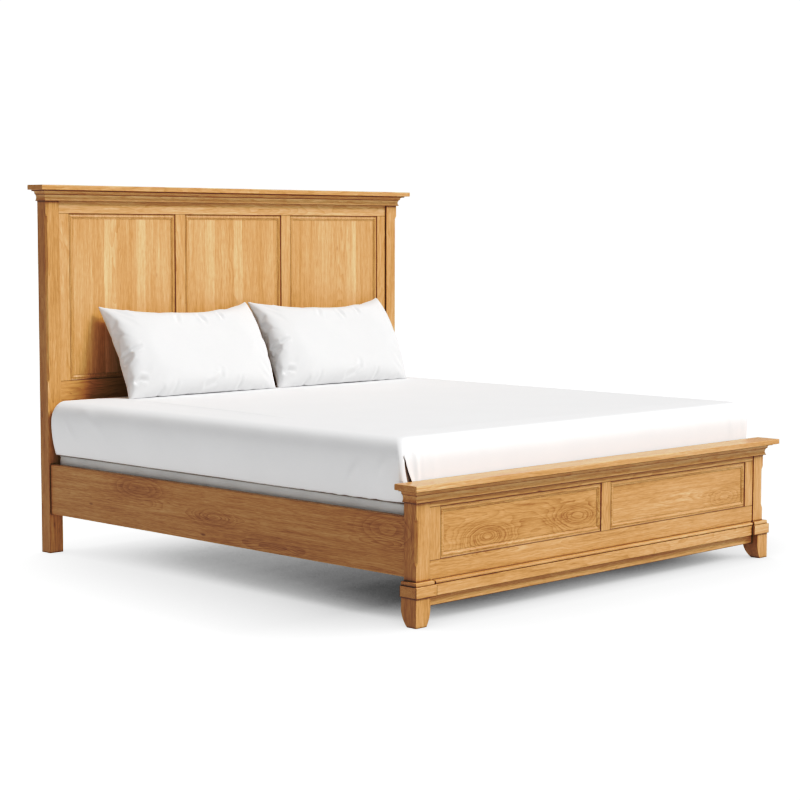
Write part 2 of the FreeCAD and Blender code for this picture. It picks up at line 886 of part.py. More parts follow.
def apron():
    """The board under the bottom rail, set back, from bracket foot to bracket foot."""
    half = foot.half + size.FootReach - size.FootWidth
    body = new_body("footboard_apron", -half, foot.front + size.ApronRecess, size.ApronLow)
    extent = (2 * half, size.BoardThickness, size.PlinthLow - size.ApronLow)
    add_block(body, (0, 0, 0), extent)
    nodes.append(body)


def bracket_foot(side):
    """A block under a foot post: straight outside and in front, and drawn in by a curve
    towards the floor on its inner side and at its back."""
    label = f"footboard_{SIDE_NAMES[side]}_foot"
    body = new_body(label, side * (foot.half + size.FootReach), foot.front - size.FootReach, 0)
    flip = -1 * side
    inner = flip * size.FootWidth
    toe = flip * (size.FootWidth - size.FootTaperIn)
    side_bulge = size.FootTaperIn * size.FootFullness
    corners = [
        (0, 0), (toe, 0, side_bulge), (inner, size.FootCurve),
        (inner, size.PlinthLow), (0, size.PlinthLow),
    ]
    if flip < 0:
        corners = [
            (0, 0), (0, size.PlinthLow), (inner, size.PlinthLow),
            (inner, size.FootCurve, side_bulge), (toe, 0),
        ]
    sketch = new_sketch(body, "XZ_Plane")
    outline(sketch, corners)
    pad(body, sketch, size.FootDepth, back=True)
    toe_back = size.FootDepth - size.FootTaperBack
    clear = size.FootDepth + size.FootTaperBack
    sketch = new_sketch(body, "YZ_Plane")
    outline(sketch, [
        (toe_back, 0), (clear, 0), (clear, size.FootCurve),
        (size.FootDepth, size.FootCurve, -1 * size.FootTaperBack * size.FootFullness),
    ])
    carve(body, sketch)
    nodes.append(body)


# ---------------------------------------------------------------- rails and centre support


def side_rail(side):
    label = f"{SIDE_NAMES[side]}_side_rail"
    left = -1 * rail_outer if side == LEFT else rail_inner
    body = new_body(label, left, foot_back, size.RailLow)
    add_block(body, (0, 0, 0), (size.RailThickness, size.InsideLength, size.RailHeight))
    outer = 0 if side == LEFT else size.RailThickness.value
    round_edges(
        body, size.RailEase,
        lambda middle, edge: (
            meets(edge.Length, size.InsideLength.value) and meets(middle.x, outer)
        ),
    )
    inner = size.RailThickness if side == LEFT else 0
    for board in (foot, head):
        for seat in hook_screw_seats(board, side):
            sketch = new_sketch(body, "YZ_Plane", inner)
            circle(sketch, seat[1] - foot_back, seat[2] - size.RailLow, size.ScrewShank)
            carve(body, sketch, size.ScrewLength - size.PlateThickness, back=side == RIGHT)
    nodes.append(body)


def hook_screw_seats(board, side):
    """Where the screws of a hook plate bear on it, inside the rail."""
    face, way = plate_lines(board)
    x = side * (rail_inner - size.PlateThickness)
    y = face - way * size.HookScrewPlace
    reach = size.HookPlateHeight / 2 - size.HookScrewInset
    return [(x, y, rail_middle - reach), (x, y, rail_middle), (x, y, rail_middle + reach)]


def rail_hardware():
    """Hook plates, slotted plates and the screws of the hook plates."""
    hooks, slots, screws = [], [], []
    for board in (foot, head):
        for side in (LEFT, RIGHT):
            plate = hook_plate(board, side)
            for i, seat in enumerate(hook_screw_seats(board, side)):
                name = f"{board.name}_{SIDE_NAMES[side]}_{i}"
                way = Vector(side, 0, 0)
                screws.append(screw(f"screw_{name}", seat, way))
                start = (seat[0] - side * size.DrillProud, seat[1], seat[2])
                depth = size.PlateThickness + 2 * size.DrillProud
                hole = rod(f"hole_{name}", start, size.ScrewShank, depth, way)
                plate = less(f"drilled_{name}", plate, hole)
            hooks.append(plate)
            slots.append(slotted_plate(board, side))
    group("rail_hook_plates", hooks)
    group("post_slotted_plates", slots)
    group("rail_plate_screws", screws)


def cleat(side):
    """The strip inside a side rail that carries the slats' ends."""
    label = f"{SIDE_NAMES[side]}_slat_cleat"
    left = -1 * rail_inner if side == LEFT else rail_inner - size.CleatWidth
    body = new_body(label, left, foot_back + size.CleatEnd, cleat_top - size.CleatHeight)
    extent = (size.CleatWidth, size.InsideLength - 2 * size.CleatEnd, size.CleatHeight)
    add_block(body, (0, 0, 0), extent)
    nodes.append(body)


def slats():
    """Loose boards across the cleats and the centre beam."""
    count = int(size.SlatCount.value)
    first = foot_back + size.SlatMargin
    pitch = (size.InsideLength - 2 * size.SlatMargin) / (count - 1)
    boards = []
    for i in range(count):
        middle = (0, first + i * pitch, size.SlatTop - size.SlatThickness / 2)
        extent = (2 * (rail_inner - size.SlatEndPlay), size.SlatWidth, size.SlatThickness)
        boards.append(box(f"slat_{i + 1}", middle, extent))
    group("slats", boards)


def centre_support():
    """The beam under the slats, hung between the boards, and its two legs."""
    start = foot_frame + size.BoardThickness
    end = head_frame
    run = end - start - 2 * size.HangerThickness
    middle = (start + end) / 2
    beam = box("centre_beam", (0, middle, cleat_top - size.BeamHeight / 2),
               (size.BeamWidth, run, size.BeamHeight))
    beam.Label = "centre_beam"
    nodes.append(beam)

    hangers = []
    for name, wall, way in (("foot", start, 1), ("head", end, -1)):
        plate_y = wall + way * size.HangerThickness / 2
        saddle_y = wall + way * (size.HangerThickness + size.HangerWrap / 2)
        gauge = size.HangerThickness
        outer = size.BeamWidth + 2 * gauge
        high = size.HangerHeight
        pieces = [
            box(f"hanger_plate_{name}", (0, plate_y, beam_low - gauge + (high + gauge) / 2),
                (outer + 2 * size.HangerWing, gauge, high + gauge)),
            box(f"hanger_floor_{name}", (0, saddle_y, beam_low - gauge / 2),
                (outer, size.HangerWrap, gauge)),
        ]
        for side in (LEFT, RIGHT):
            x = side * (size.BeamWidth / 2 + gauge / 2)
            pieces.append(box(f"hanger_cheek_{name}_{SIDE_NAMES[side]}",
                              (x, saddle_y, beam_low + high / 2),
                              (gauge, size.HangerWrap, high)))
        hangers.append(joined(f"beam_hanger_{name}", pieces))
    group("beam_hangers", hangers)

    legs, inserts = [], []
    for name, way in (("front", -1), ("rear", 1)):
        y = inside_middle + way * size.LegSpacing / 2
        leg = new_body(f"centre_leg_{name}", 0, y, size.LegLow)
        half = size.BeamWidth / 2
        height = beam_low - size.LegLow
        add_block(leg, (-half, -half, 0), (size.BeamWidth, size.BeamWidth, height))
        for radius, depth in ((size.LegBore, size.LegBoreDepth),
                              (size.InsertRadius, size.InsertLength)):
            sketch = new_sketch(leg, "XY_Plane", depth)
            circle(sketch, 0, 0, radius)
            carve(leg, sketch, depth)
        legs.append(leg)

        insert = new_body(f"threaded_insert_{name}", 0, y, size.LegLow)
        sketch = new_sketch(insert, "XY_Plane")
        circle(sketch, 0, 0, size.InsertRadius)
        circle(sketch, 0, 0, size.StemRadius + size.StemPlay)
        pad(insert, sketch, size.InsertLength)
        inserts.append(insert)
        leveller(name, y)
    group("centre_legs", legs)
    group("threaded_inserts", inserts)


def leveller(name, y):
    """A levelling foot: a threaded stem with a hexagonal collar, turning in a round pad."""
    stem = new_body(f"{name}_leveller_stem", 0, y, size.StemLow)
    sketch = new_sketch(stem, "XY_Plane")
    circle(sketch, 0, 0, size.StemRadius)
    pad(stem, sketch, size.StemTop - size.StemLow)
    sketch = new_sketch(stem, "XY_Plane", size.CollarLow - size.StemLow)
    outline(sketch, [
        (size.CollarRadius * math.cos(turn), size.CollarRadius * math.sin(turn))
        for turn in (math.radians(60 * i + 30) for i in range(6))
    ])
    pad(stem, sketch, size.CollarHeight)
    nodes.append(stem)

    foot_pad = new_body(f"{name}_leveller_pad", 0, y, 0)
    sketch = new_sketch(foot_pad, "XZ_Plane")
    socket = size.StemRadius + size.StemPlay
    outline(sketch, [
        (0, 0), (size.PadRadius, 0), (size.PadRadius, size.PadHeight / 2),
        (size.PadTopRadius, size.PadHeight), (socket, size.PadHeight),
        (socket, size.StemLow - size.StemPlay), (0, size.StemLow - size.StemPlay),
    ])
    turned = foot_pad.newObject("PartDesign::Revolution", "Turned")
    turned.Profile = sketch
    turned.ReferenceAxis = (sketch, ["V_Axis"])
    turned.Angle = 360
    nodes.append(foot_pad)


# ---------------------------------------------------------------- bedding


def foundation(side):
    """One half of the split foundation: an upholstered box with rounded corners."""
    label = f"{SIDE_NAMES[side]}_foundation"
    half = rail_inner - size.FoundationSideGap
    width = half - size.FoundationSplit / 2
    length = size.InsideLength - size.FoundationHeadGap - size.FoundationFootGap
    x = -half if side == LEFT else size.FoundationSplit / 2
    y = foot_back + size.FoundationFootGap
    body = new_body(label, x, y, size.SlatTop + size.SoftGap)
    add_block(body, (0, 0, 0), (width, length, size.FoundationThickness))
    outer = 0 if side == LEFT else width.value
    round_edges(
        body, size.FoundationCorner,
        lambda middle, edge: (
            meets(middle.x, outer) and meets(edge.Length, size.FoundationThickness.value)
        ),
    )
    top, bottom = size.FoundationThickness.value, 0
    round_edges(
        body, size.FoundationRound,
        lambda middle, edge: meets(middle.z, top) or meets(middle.z, bottom),
    )
    nodes.append(body)


def rounded_loop(half_width, foot_y, head_y, foot_radius, head_radius, z):
    """A closed level wire with straight sides and quarter-round corners."""
    corners = [
        (1, foot_y, 1, foot_radius), (1, head_y, -1, head_radius),
        (-1, head_y, -1, head_radius), (-1, foot_y, 1, foot_radius),
    ]
    edges, points = [], []
    for side, y, way, radius in corners:
        along_x = Vector(side * (half_width - radius), y, z)
        along_y = Vector(side * half_width, y + way * radius, z)
        bend = radius * (1 - math.sqrt(0.5))
        middle = Vector(side * (half_width - bend), y + way * bend, z)
        x_first = side * way > 0
        points.append((along_x, middle, along_y) if x_first else (along_y, middle, along_x))
    for i, (start, middle, stop) in enumerate(points):
        edges.append(Part.Arc(start, middle, stop).toShape())
        edges.append(Part.LineSegment(stop, points[(i + 1) % 4][0]).toShape())
    return Part.Wire(edges)


def mattress_levels():
    """Height and inset of each level of the mattress: tucked in below, widest above the
    middle, and rounded over at the top to a flat crown."""
    high = (size.MattressThickness - size.MattressCrown).value
    widest = size.MattressWidest.value
    lower_steps, upper_steps = 4, 6
    levels = []
    for i in range(lower_steps + 1):
        z = widest * i / lower_steps
        levels.append((z, size.MattressTuck.value * (1 - z / widest) ** 2))
    for i in range(1, upper_steps + 1):
        turn = math.pi / 2 * i / upper_steps
        z = widest + (high - widest) * math.sin(turn)
        levels.append((z, size.MattressRound.value * (1 - math.cos(turn))))
    levels.append((size.MattressThickness.value, size.MattressCrownRun.value))
    return levels


def mattress_form(grow):
    """The mattress, grown outwards and up by the thickness of what covers it."""
    foot_y = (foot_back + size.MattressEndGap).value
    head_y = (head_front - size.MattressEndGap).value
    half = (foot_half + size.MattressOverhang).value
    loops = []
    for z, inset in mattress_levels():
        below = z < size.MattressWidest.value
        end_inset = inset * size.MattressEndShare.value if below else inset
        corners = [
            max(radius.value - inset, size.SharpestCorner.value) + grow
            for radius in (size.FootCorner, size.HeadCorner)
        ]
        loops.append(rounded_loop(
            half - inset + grow, foot_y + end_inset - grow, head_y - end_inset + grow,
            *corners, mattress_low.value + z + (0 if below else grow),
        ))
    return Part.makeLoft(loops, True, True)


def mattress_and_sheet():
    """The mattress, and the sheet as a skin over its top and down its sides to the hem."""
    core = mattress_form(0)
    form("mattress", core)
    cover = mattress_form(size.SheetThickness.value)
    reach = 2 * (size.BedWidth + size.InsideLength).value
    hem = (mattress_low + size.SheetHem).value
    below = Part.makeBox(reach, reach, reach, Vector(-reach / 2, -reach / 2, hem - reach))
    form("bed_sheet", cover.cut(core).cut(below))


def pillow_section(at, low, top, belly):
    """An upright slice: bowed forward as a whole, full by the belly on both faces, with a
    narrow seam at its top and bottom."""
    seam, bow = size.PillowSeam.value / 2, size.PillowBow.value
    middle = (low + top) / 2
    full = max(belly, seam)
    front_top, front_low = Vector(at, -seam, top), Vector(at, -seam, low)
    back_top, back_low = Vector(at, seam, top), Vector(at, seam, low)
    return Part.Wire([
        Part.Arc(front_top, Vector(at, -full - bow, middle), front_low).toShape(),
        Part.LineSegment(front_low, back_low).toShape(),
        Part.Arc(back_low, Vector(at, full - bow, middle), back_top).toShape(),
        Part.LineSegment(back_top, front_top).toShape(),
    ])


def pillow(side):
    """A filled pillow that leans on the headboard: crowned, with its long edges drawn in
    between the corners, and flat where it rests on the sheet."""
    half = size.PillowWidth.value / 2
    steps = 8
    sections = []
    for i in range(-steps, steps + 1):
        across = i / steps
        belly = size.PillowThickness.value / 2 * math.sqrt(1 - abs(across) ** 3)
        top = size.PillowHeight.value / 2 - size.PillowTopDip.value * (1 - across ** 2)
        base = size.PillowHeight.value / 2 - size.PillowBaseDip.value * (1 - across ** 2)
        sections.append(pillow_section(half * across, -base, top, belly))
    filled = Part.makeLoft(sections, True, True)
    seat = (sheet_top + size.SoftGap).value
    middle = size.PillowShift + side * (size.PillowWidth + size.PillowGap) / 2
    filled.Placement = Placement(
        Vector(
            middle.value, (head_front - size.PillowForward).value,
            (sheet_top + size.PillowRise).value,
        ),
        Rotation(Vector(1, 0, 0), -size.PillowAngle.value),
    )
    room = size.BedWidth.value
    back = (head_frame - size.SoftGap).value
    clear = Part.makeBox(2 * room, room, room, Vector(-room, back - room, seat))
    form(f"{SIDE_NAMES[side]}_pillow", filled.common(clear))


# ---------------------------------------------------------------- the bed

panelled_frame(head, ("left", "centre", "right"), ("left_end", "left", "right", "right_end"))
crown(head)
frame_rail(
    "headboard_stretcher", head, size.StretcherLow, size.StretcherLow + size.StretcherHeight
)
head_rails = (
    (head.opening_top, head.cap_low),
    (head.rail_low, head.opening_low),
    (size.StretcherLow, size.StretcherLow + size.StretcherHeight),
)
panelled_frame(foot, ("left", "right"), ("left_end", "centre", "right_end"))
crown(foot)
foot_rails = ((foot.opening_top, foot.cap_low), (foot.rail_low, foot.opening_low))
for side in (LEFT, RIGHT):
    post(head, side, as_size(0), head_rails, size.HeadChamferRise, size.HeadChamferDrop)
    post(foot, side, size.PlinthLow, foot_rails, size.FootChamferRise, size.FootChamferDrop)
    plinth_block(side)
    bracket_foot(side)
    side_rail(side)
    cleat(side)
base_moulding()
apron()
rail_hardware()
slats()
centre_support()
for side in (LEFT, RIGHT):
    foundation(side)
mattress_and_sheet()
for side in (LEFT, RIGHT):
    pillow(side)

# ---------------------------------------------------------------- checks and files

doc.recompute()
for item in doc.Objects:
    if "Invalid" in item.State or "Error" in item.State:
        raise RuntimeError(f"{item.Label} did not build: {item.State}")
for node in nodes:
    shape = node.Shape
    if shape.isNull() or not shape.isValid() or not shape.Solids:
        raise RuntimeError(f"{node.Label} has no valid solid")

os.makedirs("parts", exist_ok=True)
for node in nodes:
    node.Shape.exportStep(os.path.join("parts", f"{node.Label}.step"))
whole = Part.makeCompound([node.Shape for node in nodes]).BoundBox
print(len(nodes), "nodes", round(whole.XLength, 1), round(whole.YLength, 1), round(whole.ZLength, 1))
print("middle", round(whole.Center.x, 2), round(whole.Center.y, 2), "lowest", round(whole.ZMin, 3))
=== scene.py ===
"""The looks of a king panel bed in honey maple: its finishes, its foundation, mattress, fitted
sheet and pillows, and a pale studio around it. All lengths are in metres."""

import math
import random

import bmesh
import bpy
import numpy as np
from mathutils import Matrix, Vector, noise


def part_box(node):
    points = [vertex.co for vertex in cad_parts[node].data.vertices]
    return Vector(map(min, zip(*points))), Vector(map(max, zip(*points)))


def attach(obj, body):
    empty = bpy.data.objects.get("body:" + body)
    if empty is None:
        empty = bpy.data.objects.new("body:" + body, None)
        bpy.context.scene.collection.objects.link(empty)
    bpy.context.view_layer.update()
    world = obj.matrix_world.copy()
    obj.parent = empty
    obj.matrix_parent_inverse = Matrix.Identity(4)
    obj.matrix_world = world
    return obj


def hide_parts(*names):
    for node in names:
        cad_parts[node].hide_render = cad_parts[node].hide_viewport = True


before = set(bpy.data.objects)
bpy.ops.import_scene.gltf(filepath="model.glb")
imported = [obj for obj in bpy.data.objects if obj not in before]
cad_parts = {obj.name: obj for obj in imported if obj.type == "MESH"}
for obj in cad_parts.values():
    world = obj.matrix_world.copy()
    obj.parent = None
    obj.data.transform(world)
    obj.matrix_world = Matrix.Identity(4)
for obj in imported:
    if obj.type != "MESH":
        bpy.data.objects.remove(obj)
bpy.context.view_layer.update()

bl_info = {
    "name": "Panel Bed",
    "version": (1, 0, 0),
    "blender": (4, 5, 0),
    "location": "3D View > Sidebar > Panel Bed",
    "description": "Dresses a panel bed in wood, metal and cloth, and sets a pale studio around it",
    "category": "Object",
}

MILLIMETRE = 0.001
ALONG_X, ALONG_Y, ALONG_Z = 0, 1, 2

# The two directions across the grain, the face that shows first.
ACROSS_THE_GRAIN = {ALONG_X: (2, 1), ALONG_Y: (2, 0), ALONG_Z: (0, 1)}

# Pieces whose grain doesn't run along their longest side.
UPRIGHT_GRAIN = ("headboard_left_panel", "headboard_centre_panel", "headboard_right_panel")

PLAIN_WOOD_NODES = ("left_slat_cleat", "right_slat_cleat", "slats", "centre_beam", "centre_legs")
STEEL_NODES = ("rail_hook_plates", "post_slotted_plates", "beam_hangers")
SCREW_NODES = (
    "rail_plate_screws", "front_leveller_stem", "rear_leveller_stem",
)
BRASS_NODES = ("threaded_inserts",)
PLASTIC_NODES = ("front_leveller_pad", "rear_leveller_pad")
SOFT_NODES = (
    "left_foundation", "right_foundation", "mattress", "bed_sheet", "left_pillow", "right_pillow",
)


# ---------------------------------------------------------------------------------------------
# Settings
# ---------------------------------------------------------------------------------------------


def colour_setting(name, description, default):
    return bpy.props.FloatVectorProperty(
        name=name, description=description, subtype="COLOR", size=3, min=0, max=1,
        default=default,
    )


def length_setting(name, description, default):
    return bpy.props.FloatProperty(
        name=name, description=description, default=default, min=0, subtype="DISTANCE",
        unit="LENGTH", precision=4,
    )


class PANELBED_PG_wood(bpy.types.PropertyGroup):
    light: colour_setting("Light Maple", "Colour of the pale early wood", (0.755, 0.495, 0.268))
    middle: colour_setting("Maple", "Main colour of the stained maple", (0.545, 0.303, 0.131))
    dark: colour_setting("Dark Maple", "Colour of the dark lines of the grain", (0.31, 0.135, 0.045))
    # This colour is both the glaze along the joints and the shade painted into the grooves
    glaze_and_shade: colour_setting("Glaze", "Colour of the glaze left in grooves", (0.085, 0.030, 0.010))
    fleck: colour_setting("Fleck", "Colour of small marks in the maple", (0.20, 0.080, 0.025))
    plain: colour_setting("Plain Wood", "Colour of slats, cleats and beam", (0.58, 0.42, 0.25))
    ring_width: length_setting("Ring Width", "Width of a year's growth", 0.0048)


class PANELBED_PG_cloth(bpy.types.PropertyGroup):
    sheet: colour_setting("Sheet", "Colour of the fitted sheet", (0.90, 0.90, 0.905))
    pillow: colour_setting("Pillows", "Colour of the pillow covers", (0.75, 0.75, 0.75))
    # The mattress's dark sides are partly painted shade: they darken the sheet's slit and make the dark
    # line under its hem
    border_and_shade: colour_setting("Mattress Border", "Colour of the mattress's sides", (0.25, 0.205, 0.18))
    panel: colour_setting("Mattress Panel", "Colour of the mattress's quilting", (0.62, 0.61, 0.59))
    foundation: colour_setting("Foundation", "Colour of the foundation's cover", (0.88, 0.89, 0.89))
    welt: colour_setting("Welt", "Colour of the foundation's welts", (0.78, 0.79, 0.79))
    sheet_gap: length_setting("Sheet Gap", "How far the sheet lies off the mattress", 0.0016)
    pressure: bpy.props.FloatProperty(
        name="Filling", description="Pressure that fills a pillow", default=2.5, min=0,
    )


class PANELBED_PG_stage(bpy.types.PropertyGroup):
    camera_place: bpy.props.FloatVectorProperty(
        name="Camera Place", description="Where the camera stands", subtype="TRANSLATION",
        unit="LENGTH", size=3, default=(-5.6564, -5.5980, 1.3437),
    )
    camera_turn: bpy.props.FloatProperty(
        name="Camera Turn", description="Angle that the camera faces, from the +Y axis",
        subtype="ANGLE", unit="ROTATION", default=math.radians(-45.19),
    )
    camera_dip: bpy.props.FloatProperty(
        name="Camera Dip", description="Angle that the camera looks down", subtype="ANGLE",
        unit="ROTATION", default=math.radians(5.0),
    )
    camera_roll: bpy.props.FloatProperty(
        name="Camera Roll", description="Angle that the camera leans", subtype="ANGLE",
        unit="ROTATION", default=math.radians(0.10),
    )
    camera_lens: bpy.props.FloatProperty(
        name="Lens", description="Focal length", default=86.98, min=1, unit="CAMERA",
    )
    key_power: bpy.props.FloatProperty(
        name="Key Power", description="Strength of the large far lamp", default=2.85, min=0,
    )
    room_light: bpy.props.FloatProperty(
        name="Room Light", description="Light that the white room throws on the bed", default=0.40,
        min=0,
    )
    floor_glow: bpy.props.FloatProperty(
        name="Floor Glow", description="Brightness of the open floor", default=1.08, min=0,
    )
    floor_bounce: bpy.props.FloatProperty(
        name="Floor Bounce", description="Light that the floor throws on the bed", default=0.76,
        min=0,
    )


# ---------------------------------------------------------------------------------------------
# Material nodes
# ---------------------------------------------------------------------------------------------


def new_material(name):
    material = bpy.data.materials.new(name)
    material.use_nodes = True
    return material, material.node_tree, material.node_tree.nodes["Principled BSDF"]


def feed(tree, socket, value):
    """Links a socket to another one, or gives it a value of its own."""
    if isinstance(value, bpy.types.NodeSocket):
        tree.links.new(value, socket)
    else:
        socket.default_value = value


def maths(tree, operation, first, second=0.0, third=0.0, clamp=False):
    node = tree.nodes.new("ShaderNodeMath")
    node.operation, node.use_clamp = operation, clamp
    for socket, value in zip(node.inputs, (first, second, third)):
        feed(tree, socket, value)
    return node.outputs[0]


def vectors(tree, operation, first, second=(0.0, 0.0, 0.0)):
    node = tree.nodes.new("ShaderNodeVectorMath")
    node.operation = operation
    feed(tree, node.inputs[0], first)
    feed(tree, node.inputs[1], second)
    return node.outputs["Value" if operation in ("LENGTH", "DISTANCE", "DOT_PRODUCT") else 0]


def split(tree, vector):
    node = tree.nodes.new("ShaderNodeSeparateXYZ")
    feed(tree, node.inputs[0], vector)
    return node.outputs


def attribute(tree, name):
    node = tree.nodes.new("ShaderNodeAttribute")
    node.attribute_name = name
    return node.outputs


def object_place(tree):
    return tree.nodes.new("ShaderNodeTexCoord").outputs["Object"]


def cloudy(tree, vector, scale, detail=2.0, roughness=0.5, distortion=0.0):
    """Smooth noise from 0 to 1."""
    node = tree.nodes.new("ShaderNodeTexNoise")
    feed(tree, node.inputs["Vector"], vector)
    node.inputs["Scale"].default_value = scale
    node.inputs["Detail"].default_value = detail
    node.inputs["Roughness"].default_value = roughness
    node.inputs["Distortion"].default_value = distortion
    return node.outputs


def ranged(tree, value, low, high, to_low=0.0, to_high=1.0):
    node = tree.nodes.new("ShaderNodeMapRange")
    for socket, number in zip(node.inputs, (value, low, high, to_low, to_high)):
        feed(tree, socket, number)
    return node.outputs[0]


def blended(tree, amount, first, second, how="MIX"):
    node = tree.nodes.new("ShaderNodeMix")
    node.data_type, node.blend_type = "RGBA", how
    feed(tree, node.inputs["Factor"], amount)
    sockets = [socket for socket in node.inputs if socket.type == "RGBA"]
    for socket, colour in zip(sockets, (first, second)):
        feed(tree, socket, colour if isinstance(colour, bpy.types.NodeSocket) else opaque(colour))
    return next(socket for socket in node.outputs if socket.type == "RGBA")


def opaque(colour):
    return (*tuple(colour)[:3], 1.0)


def ramp(tree, value, stops, how="LINEAR"):
    """A colour from a value, by stops of (place, colour)."""
    node = tree.nodes.new("ShaderNodeValToRGB")
    feed(tree, node.inputs[0], value)
    node.color_ramp.interpolation = how
    elements = node.color_ramp.elements
    while len(elements) < len(stops):
        elements.new(0.5)
    for element, (place, colour) in zip(elements, stops):
        element.position = place
        element.color = opaque(colour)
    return node.outputs[0]


def bumped(tree, shader, height, strength, distance):
    node = tree.nodes.new("ShaderNodeBump")
    node.inputs["Strength"].default_value = strength
    node.inputs["Distance"].default_value = distance
    feed(tree, node.inputs["Height"], height)
    tree.links.new(node.outputs[0], shader.inputs["Normal"])
    return node


# ---------------------------------------------------------------------------------------------
# Wood
# ---------------------------------------------------------------------------------------------

# Knots and burls in the maple: middle, then how far each reaches along x, y and z, then depth.
KNOTS = (
    ((-1.014, 0.465, 0.330), (0.05, 0.150, 0.045), 0.050),
    ((-1.014, 0.005, 0.262), (0.05, 0.110, 0.035), 0.034),
    ((-1.014, -0.929, 0.320), (0.05, 0.130, 0.055), 0.046),
    ((-1.014, -0.330, 0.190), (0.05, 0.200, 0.030), -0.030),
    ((-0.657, -1.055, 0.269), (0.120, 0.05, 0.050), 0.055),
    ((-0.162, -1.055, 0.288), (0.130, 0.05, 0.048), 0.050),
    ((0.766, -1.055, 0.273), (0.100, 0.05, 0.040), 0.046),
)

# Where the glued boards of the headboard's panels meet, along x, and how pale each board is.
HEAD_BOARDS = (
    (-0.90, 0.46), (-0.765, 0.40), (-0.711, 0.74), (-0.653, 0.42), (-0.541, 0.76),
    (-0.498, 0.46), (-0.36, 0.52), (-0.163, 0.70), (-0.105, 0.46), (0.006, 0.74),
    (0.053, 0.44), (0.20, 0.54), (0.345, 0.42), (0.50, 0.54), (0.704, 0.74), (0.764, 0.46),
)
LAST_BOARD = 0.14

# Boards that butt against others, with a dark line of glaze where they meet
JOINTED = ("stile", "top_rail", "bottom_rail", "frieze", "plinth_block", "apron", "moulding")

# Boards that were sawn from paler or darker stock than the rest, and boards made paler or darker
# as painted light and shade: the friezes and cove mouldings paler against the shade under the
# caps, the foot panels darker against the light thrown up by the floor
STOCK_AND_PAINTED_LIGHT = {
    "headboard_top_rail": 3.6, "headboard_left_end_stile": 3.4, "headboard_right_end_stile": 1.5,
    "headboard_left_stile": 1.5, "headboard_left_post": -1.6, "headboard_frieze": 3.0,
    "footboard_frieze": 2.2, "footboard_cove_moulding": 2.2, "headboard_cove_moulding": 2.2,
    "footboard_left_post": -1.0, "footboard_left_foot": -1.6, "footboard_right_foot": -1.0,
    "footboard_left_panel": -1.6, "footboard_right_panel": -1.2, "footboard_cap": 0.8,
}


def solids_of(mesh):
    """The points of a mesh, and for each the number of the closed solid that it belongs to."""
    points = coordinates(mesh)
    mesh.calc_loop_triangles()
    triangles = np.empty(len(mesh.loop_triangles) * 3, np.int32)
    mesh.loop_triangles.foreach_get("vertices", triangles)
    _, place = np.unique(np.round(points, 5), axis=0, return_inverse=True)
    place = place.ravel()
    faces = place[triangles].reshape(-1, 3)
    label = np.arange(place.max() + 1)
    while True:
        lower = label.copy()
        np.minimum.at(lower, faces.ravel(), np.repeat(label[faces].min(axis=1), 3))
        lower = lower[lower]
        if (lower == label).all():
            return points, label[place]
        label = lower


def note(mesh, name, values):
    """Writes a number or a vector on each point of a mesh, for its material to read."""
    kind, field = ("FLOAT", "value") if values.ndim == 1 else ("FLOAT_VECTOR", "vector")
    mesh.attributes.new(name, kind, "POINT").data.foreach_set(
        field, values.astype(np.float32).ravel())


def lay_grain(node, chance, upright=False):
    """Writes on a wooden node where each point lies in the log that its board was sawn from:
    along the grain, across the face, and out from the heart. Each board also has its tone,
    and how far each point is from the board's low and high corners."""
    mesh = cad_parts[node].data
    points, label = solids_of(mesh)
    grain, from_low, from_high = (np.zeros_like(points) for _ in range(3))
    tone = np.zeros(len(points))
    for board in np.unique(label):
        mine = label == board
        low, high = points[mine].min(axis=0), points[mine].max(axis=0)
        way = ALONG_Z if upright else int(np.argmax(high - low))
        across, depth = ACROSS_THE_GRAIN[way]
        grain[mine, 0] = points[mine, way] + chance.uniform(-9, 9)
        middle = (low[across] + high[across]) / 2
        grain[mine, 1] = points[mine, across] - middle + chance.uniform(-0.05, 0.05)
        grain[mine, 2] = points[mine, depth] - low[depth] + chance.uniform(0.05, 0.13)
        tone[mine] = chance.uniform(-1, 1) + STOCK_AND_PAINTED_LIGHT.get(node, 0)
        from_low[mine] = points[mine] - low
        from_high[mine] = high - points[mine]
    note(mesh, "grain", grain)
    note(mesh, "tone", tone)
    note(mesh, "from_low", from_low)
    note(mesh, "from_high", from_high)
    # The cove mouldings get wider lines: painted shade under the caps' overhang, besides glaze
    jointed = 1.8 if "cove" in node else float(any(word in node for word in JOINTED))
    note(mesh, "jointed", np.full(len(points), jointed))


def knots_in(tree, place):
    """How far each knot lifts the growth rings towards the face, and how near a knot is."""
    total, close = 0.0, 0.0
    for middle, reach, depth in KNOTS:
        off = vectors(tree, "DIVIDE", vectors(tree, "SUBTRACT", place, middle), reach)
        far = maths(tree, "POWER", vectors(tree, "LENGTH", off), 2.0)
        hump = maths(tree, "EXPONENT", maths(tree, "MULTIPLY", far, -1.0))
        total = maths(tree, "MULTIPLY_ADD", hump, depth, total)
        close = maths(tree, "MAXIMUM", hump, close)
    return total, close


def joint_line(tree):
    """1 along the edges of a jointed board, where glaze settles, and 0 elsewhere; on the cove mouldings
    the line is wider, painted shade under the caps.
    """
    near = vectors(tree, "MINIMUM", attribute(tree, "from_low")["Vector"],
                   attribute(tree, "from_high")["Vector"])
    x, y, z = split(tree, near)
    second = maths(tree, "MAXIMUM", maths(tree, "MINIMUM", x, y),
                   maths(tree, "MINIMUM", maths(tree, "MAXIMUM", x, y), z))
    jointed = attribute(tree, "jointed")["Fac"]
    wide = maths(tree, "DIVIDE", second, maths(tree, "MAXIMUM", jointed, 0.5))
    line = ranged(tree, wide, 1.4 * MILLIMETRE, 3.0 * MILLIMETRE, 1.0, 0.0)
    return maths(tree, "MULTIPLY", line, maths(tree, "MINIMUM", jointed, 1.0))


